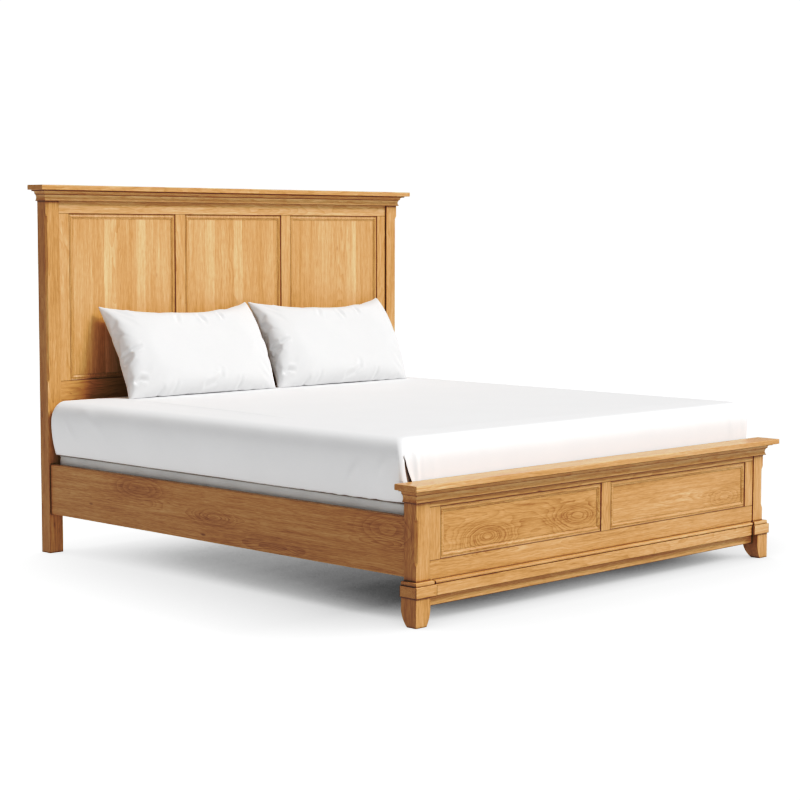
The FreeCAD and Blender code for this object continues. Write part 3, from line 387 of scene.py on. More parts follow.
def painted_groove_shade(tree, reach, low, high):
    """1 deep in a groove, by how much of the sky a point sees within reach, 0 in the open: the mask for
    shade painted into the colour.
    """
    node = tree.nodes.new("ShaderNodeAmbientOcclusion")
    node.samples = 6
    node.inputs["Distance"].default_value = reach
    return ranged(tree, node.outputs["AO"], low, high, 1.0, 0.0)


def growth_rings(tree, grain, place, wood):
    """Thin dark lines of late wood, where the face of a board cuts the rings of the log."""
    wander = cloudy(tree, vectors(tree, "MULTIPLY", grain, (1.3, 5.0, 5.0)), 1.0, 3.0, 0.6)["Color"]
    wander = vectors(tree, "SUBTRACT", wander, (0.5, 0.5, 0.5))
    wander = vectors(tree, "MULTIPLY", wander, (0.0, 0.075, 0.055))
    bent = split(tree, vectors(tree, "ADD", grain, wander))
    depth = maths(tree, "MULTIPLY_ADD", bent[0], 0.018, bent[2])
    lift, close = knots_in(tree, place)
    depth = maths(tree, "ADD", depth, lift)
    radius = maths(tree, "SQRT", maths(
        tree, "ADD", maths(tree, "POWER", bent[1], 2.0), maths(tree, "POWER", depth, 2.0)))
    jitter = cloudy(tree, vectors(tree, "MULTIPLY", grain, (9.0, 45.0, 45.0)), 1.0, 2.0)[0]
    years = maths(tree, "MULTIPLY_ADD", jitter, 0.9, maths(tree, "DIVIDE", radius, wood.ring_width))
    uneven = tree.nodes.new("ShaderNodeTexNoise")
    uneven.noise_dimensions = "1D"
    feed(tree, uneven.inputs["W"], radius)
    uneven.inputs["Scale"].default_value = 55.0
    uneven.inputs["Detail"].default_value = 1.0
    years = maths(tree, "MULTIPLY_ADD", uneven.outputs[0], 2.2, years)
    late = maths(tree, "POWER", maths(tree, "FRACT", years), 3.0)
    broad = ranged(tree, uneven.outputs[0], 0.30, 0.70)
    rings = maths(tree, "MULTIPLY_ADD", jitter, 0.5, maths(tree, "DIVIDE", lift, FIGURE_STEP))
    figure = maths(tree, "POWER", maths(tree, "FRACT", rings), 1.6)
    figure = maths(tree, "MULTIPLY", figure, ranged(tree, close, 0.04, 0.40))
    return late, broad, close, figure


# The rings round a knot: how much rise of the grain lies between them, and how dark they are
FIGURE_STEP = 11 * MILLIMETRE
FIGURE_DEPTH = 0.20
# How strongly the grain shows
CONTRAST = 1.0
BOARD_CONTRAST = 0.75
# What is left of the wood's colour on faces that are turned sideways, along x: painted shade
SIDE_SHADE = (0.80, 0.765, 0.74)


def maple(name, wood, boards=()):
    """Stained maple under a satin lacquer: growth rings, fibres, pores and small flecks along
    the grain of each board, dark glaze along its joints, and painted shade in its grooves
    and on its sideways faces."""
    material, tree, shader = new_material(name)
    grain = attribute(tree, "grain")["Vector"]
    place = object_place(tree)
    late, broad, close, figure = growth_rings(tree, grain, place, wood)

    def along(stretch, detail=3.0, roughness=0.6, low=0.32, high=0.68):
        noisy = cloudy(tree, vectors(tree, "MULTIPLY", grain, stretch), 1.0, detail, roughness)
        return ranged(tree, noisy[0], low, high)

    streaks = along((2.2, 55.0, 55.0))
    fibres = along((7.0, 260.0, 260.0), 3.0, 0.65)
    dashes = along((26.0, 420.0, 420.0), 2.0, 0.6)
    blotches = along((1.8, 9.0, 9.0), 3.0, 0.5)
    pores = along((30.0, 520.0, 520.0), 2.0, 0.5, 0.42, 0.30)

    value = maths(tree, "MULTIPLY_ADD", broad, 0.10, 0.06)
    for part, share in ((streaks, 0.20), (fibres, 0.25), (dashes, 0.27), (blotches, 0.15)):
        value = maths(tree, "MULTIPLY_ADD", part, share, value)
    shown = ranged(tree, close, 0.05, 0.60, 0.22, 0.40)
    value = maths(tree, "SUBTRACT", value, maths(tree, "MULTIPLY", late, shown))
    value = maths(tree, "MULTIPLY_ADD", figure, -FIGURE_DEPTH, value)
    value = maths(tree, "MULTIPLY_ADD", attribute(tree, "tone")["Fac"], 0.05, value)
    if boards:
        low, high = boards[0][0], boards[-1][0] + LAST_BOARD
        across = maths(tree, "MULTIPLY_ADD", cloudy(tree, place, 3.0)[0], 0.012, split(tree, place)[0])
        stops = [((x - low) / (high - low), (tone,) * 3) for x, tone in boards]
        pale = ramp(tree, ranged(tree, across, low, high), stops, "CONSTANT")
        value = maths(tree, "MULTIPLY_ADD", maths(tree, "SUBTRACT", pale, 0.42), BOARD_CONTRAST,
                      value)
    value = maths(tree, "MULTIPLY_ADD", value, CONTRAST, 0.5 - 0.48 * CONTRAST)
    colour = ramp(tree, value, ((0.0, wood.dark), (0.5, wood.middle), (1.0, wood.light)))
    colour = blended(tree, maths(tree, "MULTIPLY", pores, 0.35), colour, wood.dark)

    # Small dark flecks, here and there
    speck = tree.nodes.new("ShaderNodeTexVoronoi")
    feed(tree, speck.inputs["Vector"], vectors(tree, "MULTIPLY", grain, (7.0, 22.0, 22.0)))
    speck.inputs["Scale"].default_value = 1.0
    near = ranged(tree, speck.outputs["Distance"], 0.05, 0.14, 1.0, 0.0)
    chosen = ranged(tree, split(tree, speck.outputs["Color"])[0], 0.90, 0.92)
    chosen = maths(tree, "MULTIPLY", maths(tree, "MULTIPLY", near, chosen), 0.7)
    colour = blended(tree, chosen, colour, wood.fleck)

    # Faces turned towards -x or +x are darkened: painted shade, as if those faces were turned away from
    # the light
    facing = split(tree, tree.nodes.new("ShaderNodeNewGeometry").outputs["True Normal"])[0]
    side_shade = maths(tree, "POWER", maths(tree, "ABSOLUTE", facing), 2.0)
    colour = blended(tree, side_shade, colour, blended(tree, 1.0, colour, SIDE_SHADE, "MULTIPLY"))

    # Painted shade in the grooves and in the thin line under the caps, from ambient occlusion, and dark
    # glaze along the joints
    line = painted_groove_shade(tree, 7 * MILLIMETRE, 0.58, 0.96)
    groove_shade = painted_groove_shade(tree, 18 * MILLIMETRE, 0.20, 0.85)
    glaze_and_shade = maths(tree, "MAXIMUM", maths(tree, "MULTIPLY", groove_shade, 0.28),
                  maths(tree, "MAXIMUM", maths(tree, "MULTIPLY", line, 0.85),
                        maths(tree, "MULTIPLY", joint_line(tree), 0.75)))
    colour = blended(tree, glaze_and_shade, colour, wood.glaze_and_shade)

    tree.links.new(colour, shader.inputs["Base Color"])
    feed(tree, shader.inputs["Roughness"], ranged(tree, fibres, 0.0, 1.0, 0.50, 0.38))
    shader.inputs["Coat Weight"].default_value = 0.25
    shader.inputs["Coat Roughness"].default_value = 0.36
    shader.inputs["Specular IOR Level"].default_value = 0.45
    height = maths(tree, "MULTIPLY_ADD", pores, -0.6, fibres)
    bump = bumped(tree, shader, height, 0.22, 0.25 * MILLIMETRE)
    eased = tree.nodes.new("ShaderNodeBevel")
    eased.samples = 4
    eased.inputs["Radius"].default_value = 1.4 * MILLIMETRE
    tree.links.new(eased.outputs[0], bump.inputs["Normal"])
    return material


def plain_wood(wood):
    """Unfinished softwood for the parts that carry the foundation."""
    material, tree, shader = new_material("plain_wood")
    grain = attribute(tree, "grain")["Vector"]
    bands = cloudy(tree, vectors(tree, "MULTIPLY", grain, (1.5, 45.0, 20.0)), 1.0, 3.0, 0.5, 0.6)[0]
    fibres = cloudy(tree, vectors(tree, "MULTIPLY", grain, (10.0, 400.0, 400.0)), 1.0, 4.0, 0.6)[0]
    value = maths(tree, "MULTIPLY_ADD", fibres, 0.4, maths(tree, "MULTIPLY", bands, 0.6))
    value = maths(tree, "MULTIPLY_ADD", attribute(tree, "tone")["Fac"], 0.06, value)
    dark = tuple(c * 0.55 for c in wood.plain)
    light = tuple(min(c * 1.2, 1.0) for c in wood.plain)
    tree.links.new(ramp(tree, value, ((0.30, dark), (0.50, wood.plain), (0.72, light))),
                   shader.inputs["Base Color"])
    shader.inputs["Roughness"].default_value = 0.72
    bumped(tree, shader, fibres, 0.3, 0.3 * MILLIMETRE)
    return material


def paint(node, material):
    """Gives a node one material on all its faces."""
    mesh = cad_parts[node].data
    mesh.materials.clear()
    mesh.materials.append(material)


class PANELBED_OT_wood(bpy.types.Operator):
    """Finish the headboard, footboard and side rails in stained maple, and the rest plain"""

    bl_idname = "panel_bed.wood"
    bl_label = "Finish the Wood"

    def execute(self, context):
        wood = context.scene.panel_bed_wood
        chance = random.Random(11)
        finishes = {
            "maple": maple("maple", wood),
            "panel": maple("maple_panel", wood, HEAD_BOARDS),
            "plain": plain_wood(wood),
        }
        others = PLAIN_WOOD_NODES + STEEL_NODES + SCREW_NODES + BRASS_NODES + PLASTIC_NODES
        for node in sorted(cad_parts):
            if node in PLAIN_WOOD_NODES:
                lay_grain(node, chance)
                paint(node, finishes["plain"])
            elif node not in others + SOFT_NODES:
                upright = node in UPRIGHT_GRAIN
                lay_grain(node, chance, upright)
                paint(node, finishes["panel" if upright else "maple"])
        return {"FINISHED"}


# ---------------------------------------------------------------------------------------------
# Hardware
# ---------------------------------------------------------------------------------------------


def metal(name, colour, roughness, cloud_scale):
    """A plated metal with soft clouds in its gloss and fine scratches."""
    material, tree, shader = new_material(name)
    place = object_place(tree)
    clouds = cloudy(tree, place, cloud_scale, 4.0, 0.6)[0]
    scratches = cloudy(tree, vectors(tree, "MULTIPLY", place, (60.0, 900.0, 900.0)), 1.0, 2.0)[0]
    dull = tuple(c * 0.78 for c in colour)
    tree.links.new(ramp(tree, clouds, ((0.35, dull), (0.6, colour))), shader.inputs["Base Color"])
    feed(tree, shader.inputs["Roughness"],
         ranged(tree, clouds, 0.3, 0.7, roughness + 0.08, roughness - 0.06))
    shader.inputs["Metallic"].default_value = 1.0
    bumped(tree, shader, scratches, 0.12, 0.05 * MILLIMETRE)
    return material


def moulded_plastic():
    """Black moulded plastic with a fine spark-eroded texture."""
    material, tree, shader = new_material("black_plastic")
    grainy = cloudy(tree, object_place(tree), 1500.0, 3.0, 0.6)[0]
    tree.links.new(
        ramp(tree, grainy, ((0.3, (0.012, 0.012, 0.013)), (0.7, (0.022, 0.022, 0.023)))),
        shader.inputs["Base Color"])
    shader.inputs["Roughness"].default_value = 0.55
    bumped(tree, shader, grainy, 0.25, 0.1 * MILLIMETRE)
    return material


class PANELBED_OT_hardware(bpy.types.Operator):
    """Finish the plates, screws, inserts and levellers in metal and plastic"""

    bl_idname = "panel_bed.hardware"
    bl_label = "Finish the Hardware"

    def execute(self, context):
        groups = (
            (STEEL_NODES, metal("zinc_plate", (0.62, 0.62, 0.60), 0.38, 40.0)),
            (SCREW_NODES, metal("screw_steel", (0.55, 0.55, 0.55), 0.30, 120.0)),
            (BRASS_NODES, metal("insert_brass", (0.72, 0.52, 0.22), 0.32, 120.0)),
            (PLASTIC_NODES, moulded_plastic()),
        )
        for nodes, material in groups:
            for node in nodes:
                paint(node, material)
        return {"FINISHED"}


# ---------------------------------------------------------------------------------------------
# Cloth
# ---------------------------------------------------------------------------------------------


def woven(name, colour, thread, softness=0.35, cloudiness=0.04, depth=0.25):
    """Cloth of crossed threads of this width, a little uneven, with a soft sheen."""
    material, tree, shader = new_material(name)
    place = object_place(tree)
    weave = tree.nodes.new("ShaderNodeTexWave")
    weave.wave_type, weave.bands_direction = "BANDS", "DIAGONAL"
    feed(tree, weave.inputs["Vector"], place)
    weave.inputs["Scale"].default_value = 0.31 / thread
    weave.inputs["Distortion"].default_value = 1.2
    weave.inputs["Detail"].default_value = 2.0
    slubs = cloudy(tree, vectors(tree, "MULTIPLY", place, (60.0, 60.0, 420.0)), 1.0, 3.0, 0.6)[0]
    clouds = cloudy(tree, place, 5.0, 3.0, 0.55)[0]
    shade = ranged(tree, clouds, 0.3, 0.7, 1.0 - cloudiness, 1.0)
    shade = maths(tree, "MULTIPLY", shade, ranged(tree, slubs, 0.3, 0.7, 0.985, 1.0))
    tint = blended(tree, 1.0, colour, shade, "MULTIPLY")
    tree.links.new(tint, shader.inputs["Base Color"])
    shader.inputs["Roughness"].default_value = 0.88
    shader.inputs["Specular IOR Level"].default_value = 0.2
    shader.inputs["Sheen Weight"].default_value = softness
    shader.inputs["Sheen Roughness"].default_value = 0.45
    height = maths(tree, "MULTIPLY_ADD", slubs, 0.6, maths(tree, "MULTIPLY", weave.outputs["Fac"], 0.5))
    bumped(tree, shader, height, depth, thread * 0.6)
    return material


def piece_from(name, bm, *materials):
    """A new smooth object at the origin from a bmesh."""
    mesh = bpy.data.meshes.new(name)
    bm.to_mesh(mesh)
    bm.free()
    for material in materials:
        mesh.materials.append(material)
    for face in mesh.polygons:
        face.use_smooth = True
    piece = bpy.data.objects.new(name, mesh)
    bpy.context.scene.collection.objects.link(piece)
    return piece


def stand_for(piece, body, slot, *nodes):
    """Fixes a finished piece to its body, in place of the nodes that it dresses."""
    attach(piece, body)
    if nodes:
        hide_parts(*nodes)


def rounded_plan(low, high, radii, arc_steps, runs):
    """Points round a rectangle with rounded corners, seen from above: the right foot corner,
    the right side, and so on to the foot end. radii are those of the right foot, right head,
    left head and left foot corners, and runs the shares of each straight run, in that order."""
    corners = (
        (high[0] - radii[0], low[1] + radii[0], -90), (high[0] - radii[1], high[1] - radii[1], 0),
        (low[0] + radii[2], high[1] - radii[2], 90), (low[0] + radii[3], low[1] + radii[3], 180),
    )

    def on_arc(corner, turned):
        x, y, start = corners[corner]
        turn = math.radians(start + turned)
        radius = radii[corner]
        return Vector((x + radius * math.cos(turn), y + radius * math.sin(turn)))

    points = []
    for corner in range(4):
        points += [on_arc(corner, 90 * i / arc_steps) for i in range(arc_steps + 1)]
        after = on_arc((corner + 1) % 4, 0)
        points += [points[-1].lerp(after, share) for share in runs[corner]]
    return points


def even(steps):
    return [i / steps for i in range(1, steps)]


def skin(loops, closed_end=True):
    """A bmesh through loops of points: one ring of vertices, drawn out loop by loop, and
    closed in the middle of the last."""
    bm = bmesh.new()
    ring = bmesh.ops.create_circle(bm, segments=len(loops[0]), radius=1)["verts"]
    for vert, point in zip(ring, loops[0]):
        vert.co = point
    edges = list(bm.edges)
    for loop in loops[1:]:
        made = bmesh.ops.extrude_edge_only(bm, edges=edges)["geom"]
        new = {item for item in made if isinstance(item, bmesh.types.BMVert)}
        edges = [item for item in made if isinstance(item, bmesh.types.BMEdge)
                 and item.verts[0] in new and item.verts[1] in new]
        ring = [next(e.other_vert(v) for e in v.link_edges if e.other_vert(v) in new) for v in ring]
        for vert, point in zip(ring, loop):
            vert.co = point
    if closed_end:
        close_rim(bm, edges)
    bmesh.ops.recalc_face_normals(bm, faces=bm.faces)
    return bm


def close_rim(bm, edges):
    """Fills a rim with a fan of faces round its middle."""
    cap = bmesh.ops.contextual_create(bm, geom=edges)["faces"]
    bmesh.ops.poke(bm, faces=cap)


def welt(name, low, high, radii, z, thick, material, arc_steps=8, run_steps=40):
    """A corded welt that runs round a cushion's edge at a height."""
    loops = []
    for i in range(8):
        turn = 2 * math.pi * i / 8
        out, up = thick / 2 * math.cos(turn), thick / 2 * math.sin(turn)
        plan = rounded_plan(
            (low[0] - out, low[1] - out), (high[0] + out, high[1] + out),
            [radius + out for radius in radii], arc_steps, [even(run_steps)] * 4)
        loops.append([Vector((p.x, p.y, z + up)) for p in plan])
    bm = skin(loops, closed_end=False)
    rims = [edge for edge in bm.edges if edge.is_boundary]
    bmesh.ops.bridge_loops(bm, edges=rims)
    bmesh.ops.recalc_face_normals(bm, faces=bm.faces)
    return piece_from(name, bm, material)


def near_line(point, line):
    """Distance from a point to a broken line, and how far along the line that is, 0 to 1."""
    best, where, gone = 1e9, 0.0, 0.0
    total = sum((b - a).length for a, b in zip(line, line[1:]))
    for a, b in zip(line, line[1:]):
        along = b - a
        share = max(0.0, min(1.0, (point - a).dot(along) / along.length_squared))
        far = (point - (a + along * share)).length
        if far < best:
            best, where = far, (gone + along.length * share) / total
        gone += along.length
    return best, where


def hump(distance, width):
    """1 on a line, falling off smoothly to either side of it."""
    return math.exp(-((distance / width) ** 2))


# ---------------------------------------------------------------------------------------------
# Mattress and sheet
# ---------------------------------------------------------------------------------------------

# The mattress: how far its underside is tucked in, how high it is widest, and its round and crown
TUCK = 38 * MILLIMETRE
WIDEST = 140 * MILLIMETRE
ROUND = 60 * MILLIMETRE
CROWN = 5 * MILLIMETRE
CROWN_RUN = 150 * MILLIMETRE
FLAT_FROM = 262 * MILLIMETRE
END_SHARE = 0.1
HEAD_CORNER = 65 * MILLIMETRE
LEFT_FOOT_CORNER = 12 * MILLIMETRE
RIGHT_FOOT_CORNER = 66 * MILLIMETRE
LOWER_SHARE = 0.55

# The hem of the sheet above the mattress's underside
HEM = 3.4 * MILLIMETRE
# The slit where the sheet's side and foot end part, at the left foot corner
SLIT_TOP = 0.588
# How far the nearest point of the foot end's regular columns is from its corners
CORNER_ZONE = 90 * MILLIMETRE

# The line where the sheet's top was folded, seen from above: x and y
TOP_CREASE = [Vector(p) for p in ((-0.800, 0.732), (-0.834, 0.091), (-0.867, -0.318))]

# Drapes of the sheet's side: y and z of each end, height and width
SIDE_DRAPES = (
    (((-0.748, 0.470), (-0.799, 0.529), (-0.812, 0.575)), 0.0050, 0.014),
    (((-0.905, 0.510), (-0.952, 0.590)), 0.0035, 0.016),
    (((0.911, 0.559), (0.868, 0.505), (0.821, 0.443)), 0.0035, 0.016),
    (((0.817, 0.620), (0.684, 0.547), (0.606, 0.453)), 0.0025, 0.022),
    (((0.30, 0.600), (0.21, 0.470)), 0.0015, 0.030),
    (((-0.30, 0.590), (-0.36, 0.450)), 0.0015, 0.030),
)
# Upright folds of the foot end: x, height and width
FOOT_DRAPES = (
    (-0.966, 0.0050, 0.012), (-0.931, 0.0035, 0.010), (-0.885, 0.0030, 0.016),
    (-0.60, 0.0010, 0.030), (0.10, 0.0010, 0.040), (0.60, 0.0012, 0.030),
    (0.880, 0.0035, 0.014), (0.915, 0.0030, 0.012),
)


def mattress_side(share, high):
    """Height and inset of the mattress's side at a share of its way up, and whether that is
    in its lower part, which is tucked in."""
    if share <= LOWER_SHARE:
        z = WIDEST * share / LOWER_SHARE
        return z, TUCK * (1 - z / WIDEST) ** 2, True
    turn = math.pi / 2 * (share - LOWER_SHARE) / (1 - LOWER_SHARE)
    return WIDEST + (high - WIDEST) * math.sin(turn), ROUND * (1 - math.cos(turn)), False


def slit_edges(z):
    """How far the two edges of the sheet's slit are from the end of the corner's round."""
    below = max(0.0, SLIT_TOP - z)
    left = 1.4 * MILLIMETRE + 0.13 * below
    return left, left + 2.2 * MILLIMETRE + 0.17 * below


def foot_run(length, z):
    """Shares of the foot end's run, with columns that follow the slit at the left corner."""
    left, right = slit_edges(z)
    zone = [left * 0.5, left, left * 0.5 + right * 0.5, right]
    zone += [right + (CORNER_ZONE - right) * (i / 14) ** 1.3 for i in range(1, 15)]
    steps = 110
    middle = [CORNER_ZONE + (length - CORNER_ZONE) * i / steps for i in range(1, steps)]
    return [d / length for d in (*zone, *middle)]


def eased(steps):
    """Shares of a run that are closer together near both of its ends."""
    return [t - 0.06 * math.sin(2 * math.pi * t) for t in even(steps)]


def tucked(z, low):
    """How far the mattress's side is tucked in at a height."""
    up = min(1.0, (z - low.z) / WIDEST)
    return TUCK * (1 - up) ** 2


def mattress_loops(grow, first_z, side_steps, top_steps, slit=False, coarse=False):
    """Loops of points for a cover over the mattress, from first_z up its sides and in over its
    top to the middle, all lying grow outside it."""
    low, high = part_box("mattress")
    crown_from = high.z - low.z - CROWN
    levels = [mattress_side(i / side_steps, crown_from) for i in range(side_steps + 1)]
    if first_z > 0:
        levels = [level for level in levels if level[0] > first_z * 1.3]
        levels.insert(0, (first_z, TUCK * (1 - first_z / WIDEST) ** 2, True))
    for i in range(1, top_steps + 1):
        share = i / top_steps
        inset = ROUND + (FLAT_FROM - ROUND) * share
        crowned = min(1.0, (inset - ROUND) / (CROWN_RUN - ROUND))
        levels.append((crown_from + CROWN * crowned, inset, False))
    loops = []
    for z, inset, lower in levels:
        end_inset = inset * END_SHARE if lower else inset
        blunt = inset * 0.22 if not lower else 0.0
        foot = LEFT_FOOT_CORNER + blunt + grow
        right_foot = max(RIGHT_FOOT_CORNER - inset * 0.5, 12 * MILLIMETRE) + grow
        head = max(HEAD_CORNER - inset, 8 * MILLIMETRE) + grow
        corner_low = (-high.x + inset - grow, low.y + end_inset - grow)
        corner_high = (high.x - inset + grow, high.y - end_inset + grow)
        place = low.z + z + (0 if lower else grow)
        length = corner_high[0] - corner_low[0] - foot - right_foot
        if coarse:
            runs = [even(60)] * 4
        else:
            runs = [eased(140), even(50), eased(170),
                    foot_run(length, place) if slit else even(110)]
        plan = rounded_plan(corner_low, corner_high, (right_foot, head, head, foot), 8, runs)
        loops.append([Vector((p.x, p.y, place)) for p in plan])
    middle = Vector((0, (low.y + high.y) / 2, loops[-1][0].z))
    inner = loops[-1]
    rings = 5 if coarse else 12
    for i in range(1, rings):
        loops.append([p.lerp(middle, (i / rings) ** 0.8) for p in inner])
    return loops


def drape(point, foot, half):
    """How far the sheet stands off its even shape at a point, outwards."""
    out = 0.0
    if point.z < 0.625 and abs(abs(point.x) - half) < 0.07:
        hang = max(0.0, min(1.0, (0.62 - point.z) / 0.20))
        out += 0.0020 * hang * noise.noise(Vector((point.x, point.y * 2.6, point.z * 1.2)))
        out += 0.0006 * noise.noise(Vector((7, point.y * 6 - point.z * 5, point.z * 2)))
        spot = Vector((point.y, point.z))
        for line, tall, wide in SIDE_DRAPES:
            far, along = near_line(spot, [Vector(p) for p in line])
            out += 1.6 * tall * hump(far, wide) * math.sin(math.pi * min(1, 0.12 + along))
    if point.z < 0.635 and point.y < foot + 0.03:
        x = point.x
        hang = max(0.0, min(1.0, (0.640 - point.z) / 0.05))
        for at, tall, wide in FOOT_DRAPES:
            out += tall * hang * hump(x - at - (0.6 - point.z) * 0.10, wide)
        out += 0.0022 * hang * noise.noise(Vector((point.x * 5, 3, point.z * 2)))
    return out


class PANELBED_OT_mattress(bpy.types.Operator):
    """Build the mattress under the sheet, with pale panels, dark sides that are partly painted shade
    seen through the sheet's slit, and a dark tape edge that paints the shade line under the sheet's hem
    """

    bl_idname = "panel_bed.mattress"
    bl_label = "Build the Mattress"

    def execute(self, context):
        cloth = context.scene.panel_bed_cloth
        low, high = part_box("mattress")
        border_and_shade = woven("mattress_border_and_shade", cloth.border_and_shade, 1.4 * MILLIMETRE, 0.2)
        panel = woven("mattress_panel", cloth.panel, 1.2 * MILLIMETRE, 0.3)
        loops = mattress_loops(-1.2 * MILLIMETRE, 0.0, 18, 4, coarse=True)
        bm = skin(loops)
        close_rim(bm, [edge for edge in bm.edges if edge.is_boundary])
        bmesh.ops.recalc_face_normals(bm, faces=bm.faces)
        for face in bm.faces:
            face.material_index = 1 if abs(face.normal.z) > 0.8 else 0
            if face.normal.z < -0.8:
                self.quilt(face, low)
        core = piece_from("mattress_core", bm, border_and_shade, panel)
        stand_for(core, "mattress", "mattress_fabric", "mattress")
        # A dark tape round the mattress's underside shows below the sheet's hem: a dark thing put there
        # for the shade line under the hem
        inset = TUCK - 1.2 * MILLIMETRE
        tape = welt(
            "mattress_tape_shade_line", (-high.x + inset, low.y + inset * END_SHARE),
            (high.x - inset, high.y - inset * END_SHARE),
            (RIGHT_FOOT_CORNER, 27 * MILLIMETRE, 27 * MILLIMETRE, LEFT_FOOT_CORNER),
            low.z + 2.6 * MILLIMETRE, 4.6 * MILLIMETRE, border_and_shade, 8, 60)
        stand_for(tape, "mattress", "mattress_fabric")
        return {"FINISHED"}

    @staticmethod
    def quilt(face, low):
        """Lifts the underside between its stitches."""
        for vert in face.verts:
            vert.co.z = low.z + 0.2 * MILLIMETRE


class PANELBED_OT_sheet(bpy.types.Operator):
    """Stretch the sheet over the mattress, with its open left foot corner, its crease and its hem"""

    bl_idname = "panel_bed.sheet"
    bl_label = "Lay the Sheet"

    def execute(self, context):
        cloth = context.scene.panel_bed_cloth
        low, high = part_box("mattress")
        loops = mattress_loops(cloth.sheet_gap, HEM, 28, 28, slit=True)
        bm = skin(loops)
        bm.normal_update()
        moves = {vert: self.move(vert, low, high) for vert in bm.verts}
        self.part_corners(bm, low, high)
        for vert, move in moves.items():
            if vert.is_valid:
                vert.co += move
        cotton = woven("sheet_cotton", cloth.sheet, 0.6 * MILLIMETRE, 0.30, 0.02)
        sheet = piece_from("fitted_sheet", bm, cotton)
        thick = sheet.modifiers.new("Cloth Thickness", "SOLIDIFY")
        thick.thickness, thick.offset = 1.0 * MILLIMETRE, -1
        stand_for(sheet, "mattress", "sheet_cotton", "bed_sheet")
        return {"FINISHED"}

    @staticmethod
    def move(vert, low, high):
        point = vert.co
        amount = drape(point, low.y, high.x)
        top = high.z - 20 * MILLIMETRE
        if point.z > top:
            far, along = near_line(Vector((point.x, point.y)), TOP_CREASE)
            fade = min(1.0, (1 - along) * 4) * min(1.0, along * 6 + 0.3)
            amount += fade * (3.6 * hump(far - 0.018, 0.013) - 5.0 * hump(far, 0.010)) * MILLIMETRE
            soft = noise.noise(Vector((point.x * 1.5, point.y * 1.1, 5)))
            edge = max(0.0, min(1.0, (0.80 - abs(point.x)) / 0.2))
            amount += 1.3 * MILLIMETRE * soft * edge
        if point.y < low.y + 10 * MILLIMETRE and point.z < SLIT_TOP and point.x < 0:
            left, right = slit_edges(point.z)
            out = high.x - tucked(point.z, low) - LEFT_FOOT_CORNER + point.x
            lift = (SLIT_TOP - point.z) * 0.05
            amount += lift * hump(out - right, 0.016) if out >= right - 0.0002 else 0.0
        step = vert.normal * amount
        if point.z < low.z + HEM + 1e-4:
            near_foot = max(0.0, min(1.0, (-0.35 - point.y) / 0.5))
            ripple = noise.noise(Vector((point.x * 40, point.y * 26, 1)))
            step.z += (0.5 + 3.4 * near_foot) * MILLIMETRE * (ripple + 0.35)
        return step

    @staticmethod
    def part_corners(bm, low, high):
        """Takes the cloth out of the slit at the left foot corner."""
        gone = []
        for face in bm.faces:
            middle = face.calc_center_median()
            if (middle.y > low.y + 10 * MILLIMETRE or middle.x > 0
                    or max(v.co.z for v in face.verts) > SLIT_TOP):
                continue
            left, right = slit_edges(middle.z)
            out = high.x - tucked(middle.z, low) - LEFT_FOOT_CORNER + middle.x
            if left < out < right:
                gone.append(face)
        bmesh.ops.delete(bm, geom=gone, context="FACES")


# ---------------------------------------------------------------------------------------------
# Foundations
# ---------------------------------------------------------------------------------------------


class PANELBED_OT_foundations(bpy.types.Operator):
    """Cover the two foundations in grey cloth, with a welt round their edges"""

    bl_idname = "panel_bed.foundations"
    bl_label = "Cover the Foundations"

    def execute(self, context):
        cloth = context.scene.panel_bed_cloth
        cover = woven("foundation_cover", cloth.foundation, 1.3 * MILLIMETRE, 0.2, 0.10, 0.5)
        cord = woven("foundation_welt", cloth.welt, 0.9 * MILLIMETRE, 0.2, 0.05)
        for side in ("left", "right"):
            node = side + "_foundation"
            low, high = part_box(node)
            box = self.padded_box(low, high)
            piece = piece_from(side + "_foundation_cover", box, cover)
            stand_for(piece, "foundation", "foundation_fabric", node)
            inset = 1.6 * MILLIMETRE
            corners = self.corners(side)
            for name, z in (("lower", low.z + 7 * MILLIMETRE), ("upper", high.z - 7 * MILLIMETRE)):
                cording = welt(
                    f"{side}_foundation_{name}_welt", (low.x + inset, low.y + inset),
                    (high.x - inset, high.y - inset), corners, z, 4 * MILLIMETRE, cord)
                stand_for(cording, "foundation", "foundation_fabric")
        return {"FINISHED"}

    @staticmethod
    def corners(side):
        """Radii of the corners: the ones beside the split are nearly square."""
        outer, inner = 19 * MILLIMETRE, 4 * MILLIMETRE
        return (inner, inner, outer, outer) if side == "left" else (outer, outer, inner, inner)

    def padded_box(self, low, high):
        side = "left" if low.x + high.x < 0 else "right"
        deep = high.z - low.z
        levels = ((0.0, 9.0), (0.012, 4.5), (0.035, 2.2), (0.06, 1.4), (0.085, 2.0), (0.13, 0.9),
                  (0.30, 0.2), (0.5, 0.0), (0.70, 0.2), (0.87, 0.9), (0.915, 2.0), (0.94, 1.4),
                  (0.965, 2.2), (0.988, 4.5), (1.0, 9.0), (1.0, 60.0))
        loops = []
        for share, inset in levels:
            inset *= MILLIMETRE
            radii = [max(radius - inset, 1.5 * MILLIMETRE) for radius in self.corners(side)]
            plan = rounded_plan((low.x + inset, low.y + inset), (high.x - inset, high.y - inset),
                                radii, 8, [even(60)] * 4)
            loops.append([Vector((p.x, p.y, low.z + deep * share)) for p in plan])
        bm = skin(loops)
        close_rim(bm, [edge for edge in bm.edges if edge.is_boundary])
        bmesh.ops.recalc_face_normals(bm, faces=bm.faces)
        bm.normal_update()
        for vert in bm.verts:
            if abs(vert.normal.z) < 0.5:
                pull = noise.noise(Vector((vert.co.x * 4, vert.co.y * 4, vert.co.z * 9)))
                vert.co -= vert.normal * (0.6 * MILLIMETRE * (pull + 1))
        return bm


# ---------------------------------------------------------------------------------------------
# Pillows
# ---------------------------------------------------------------------------------------------

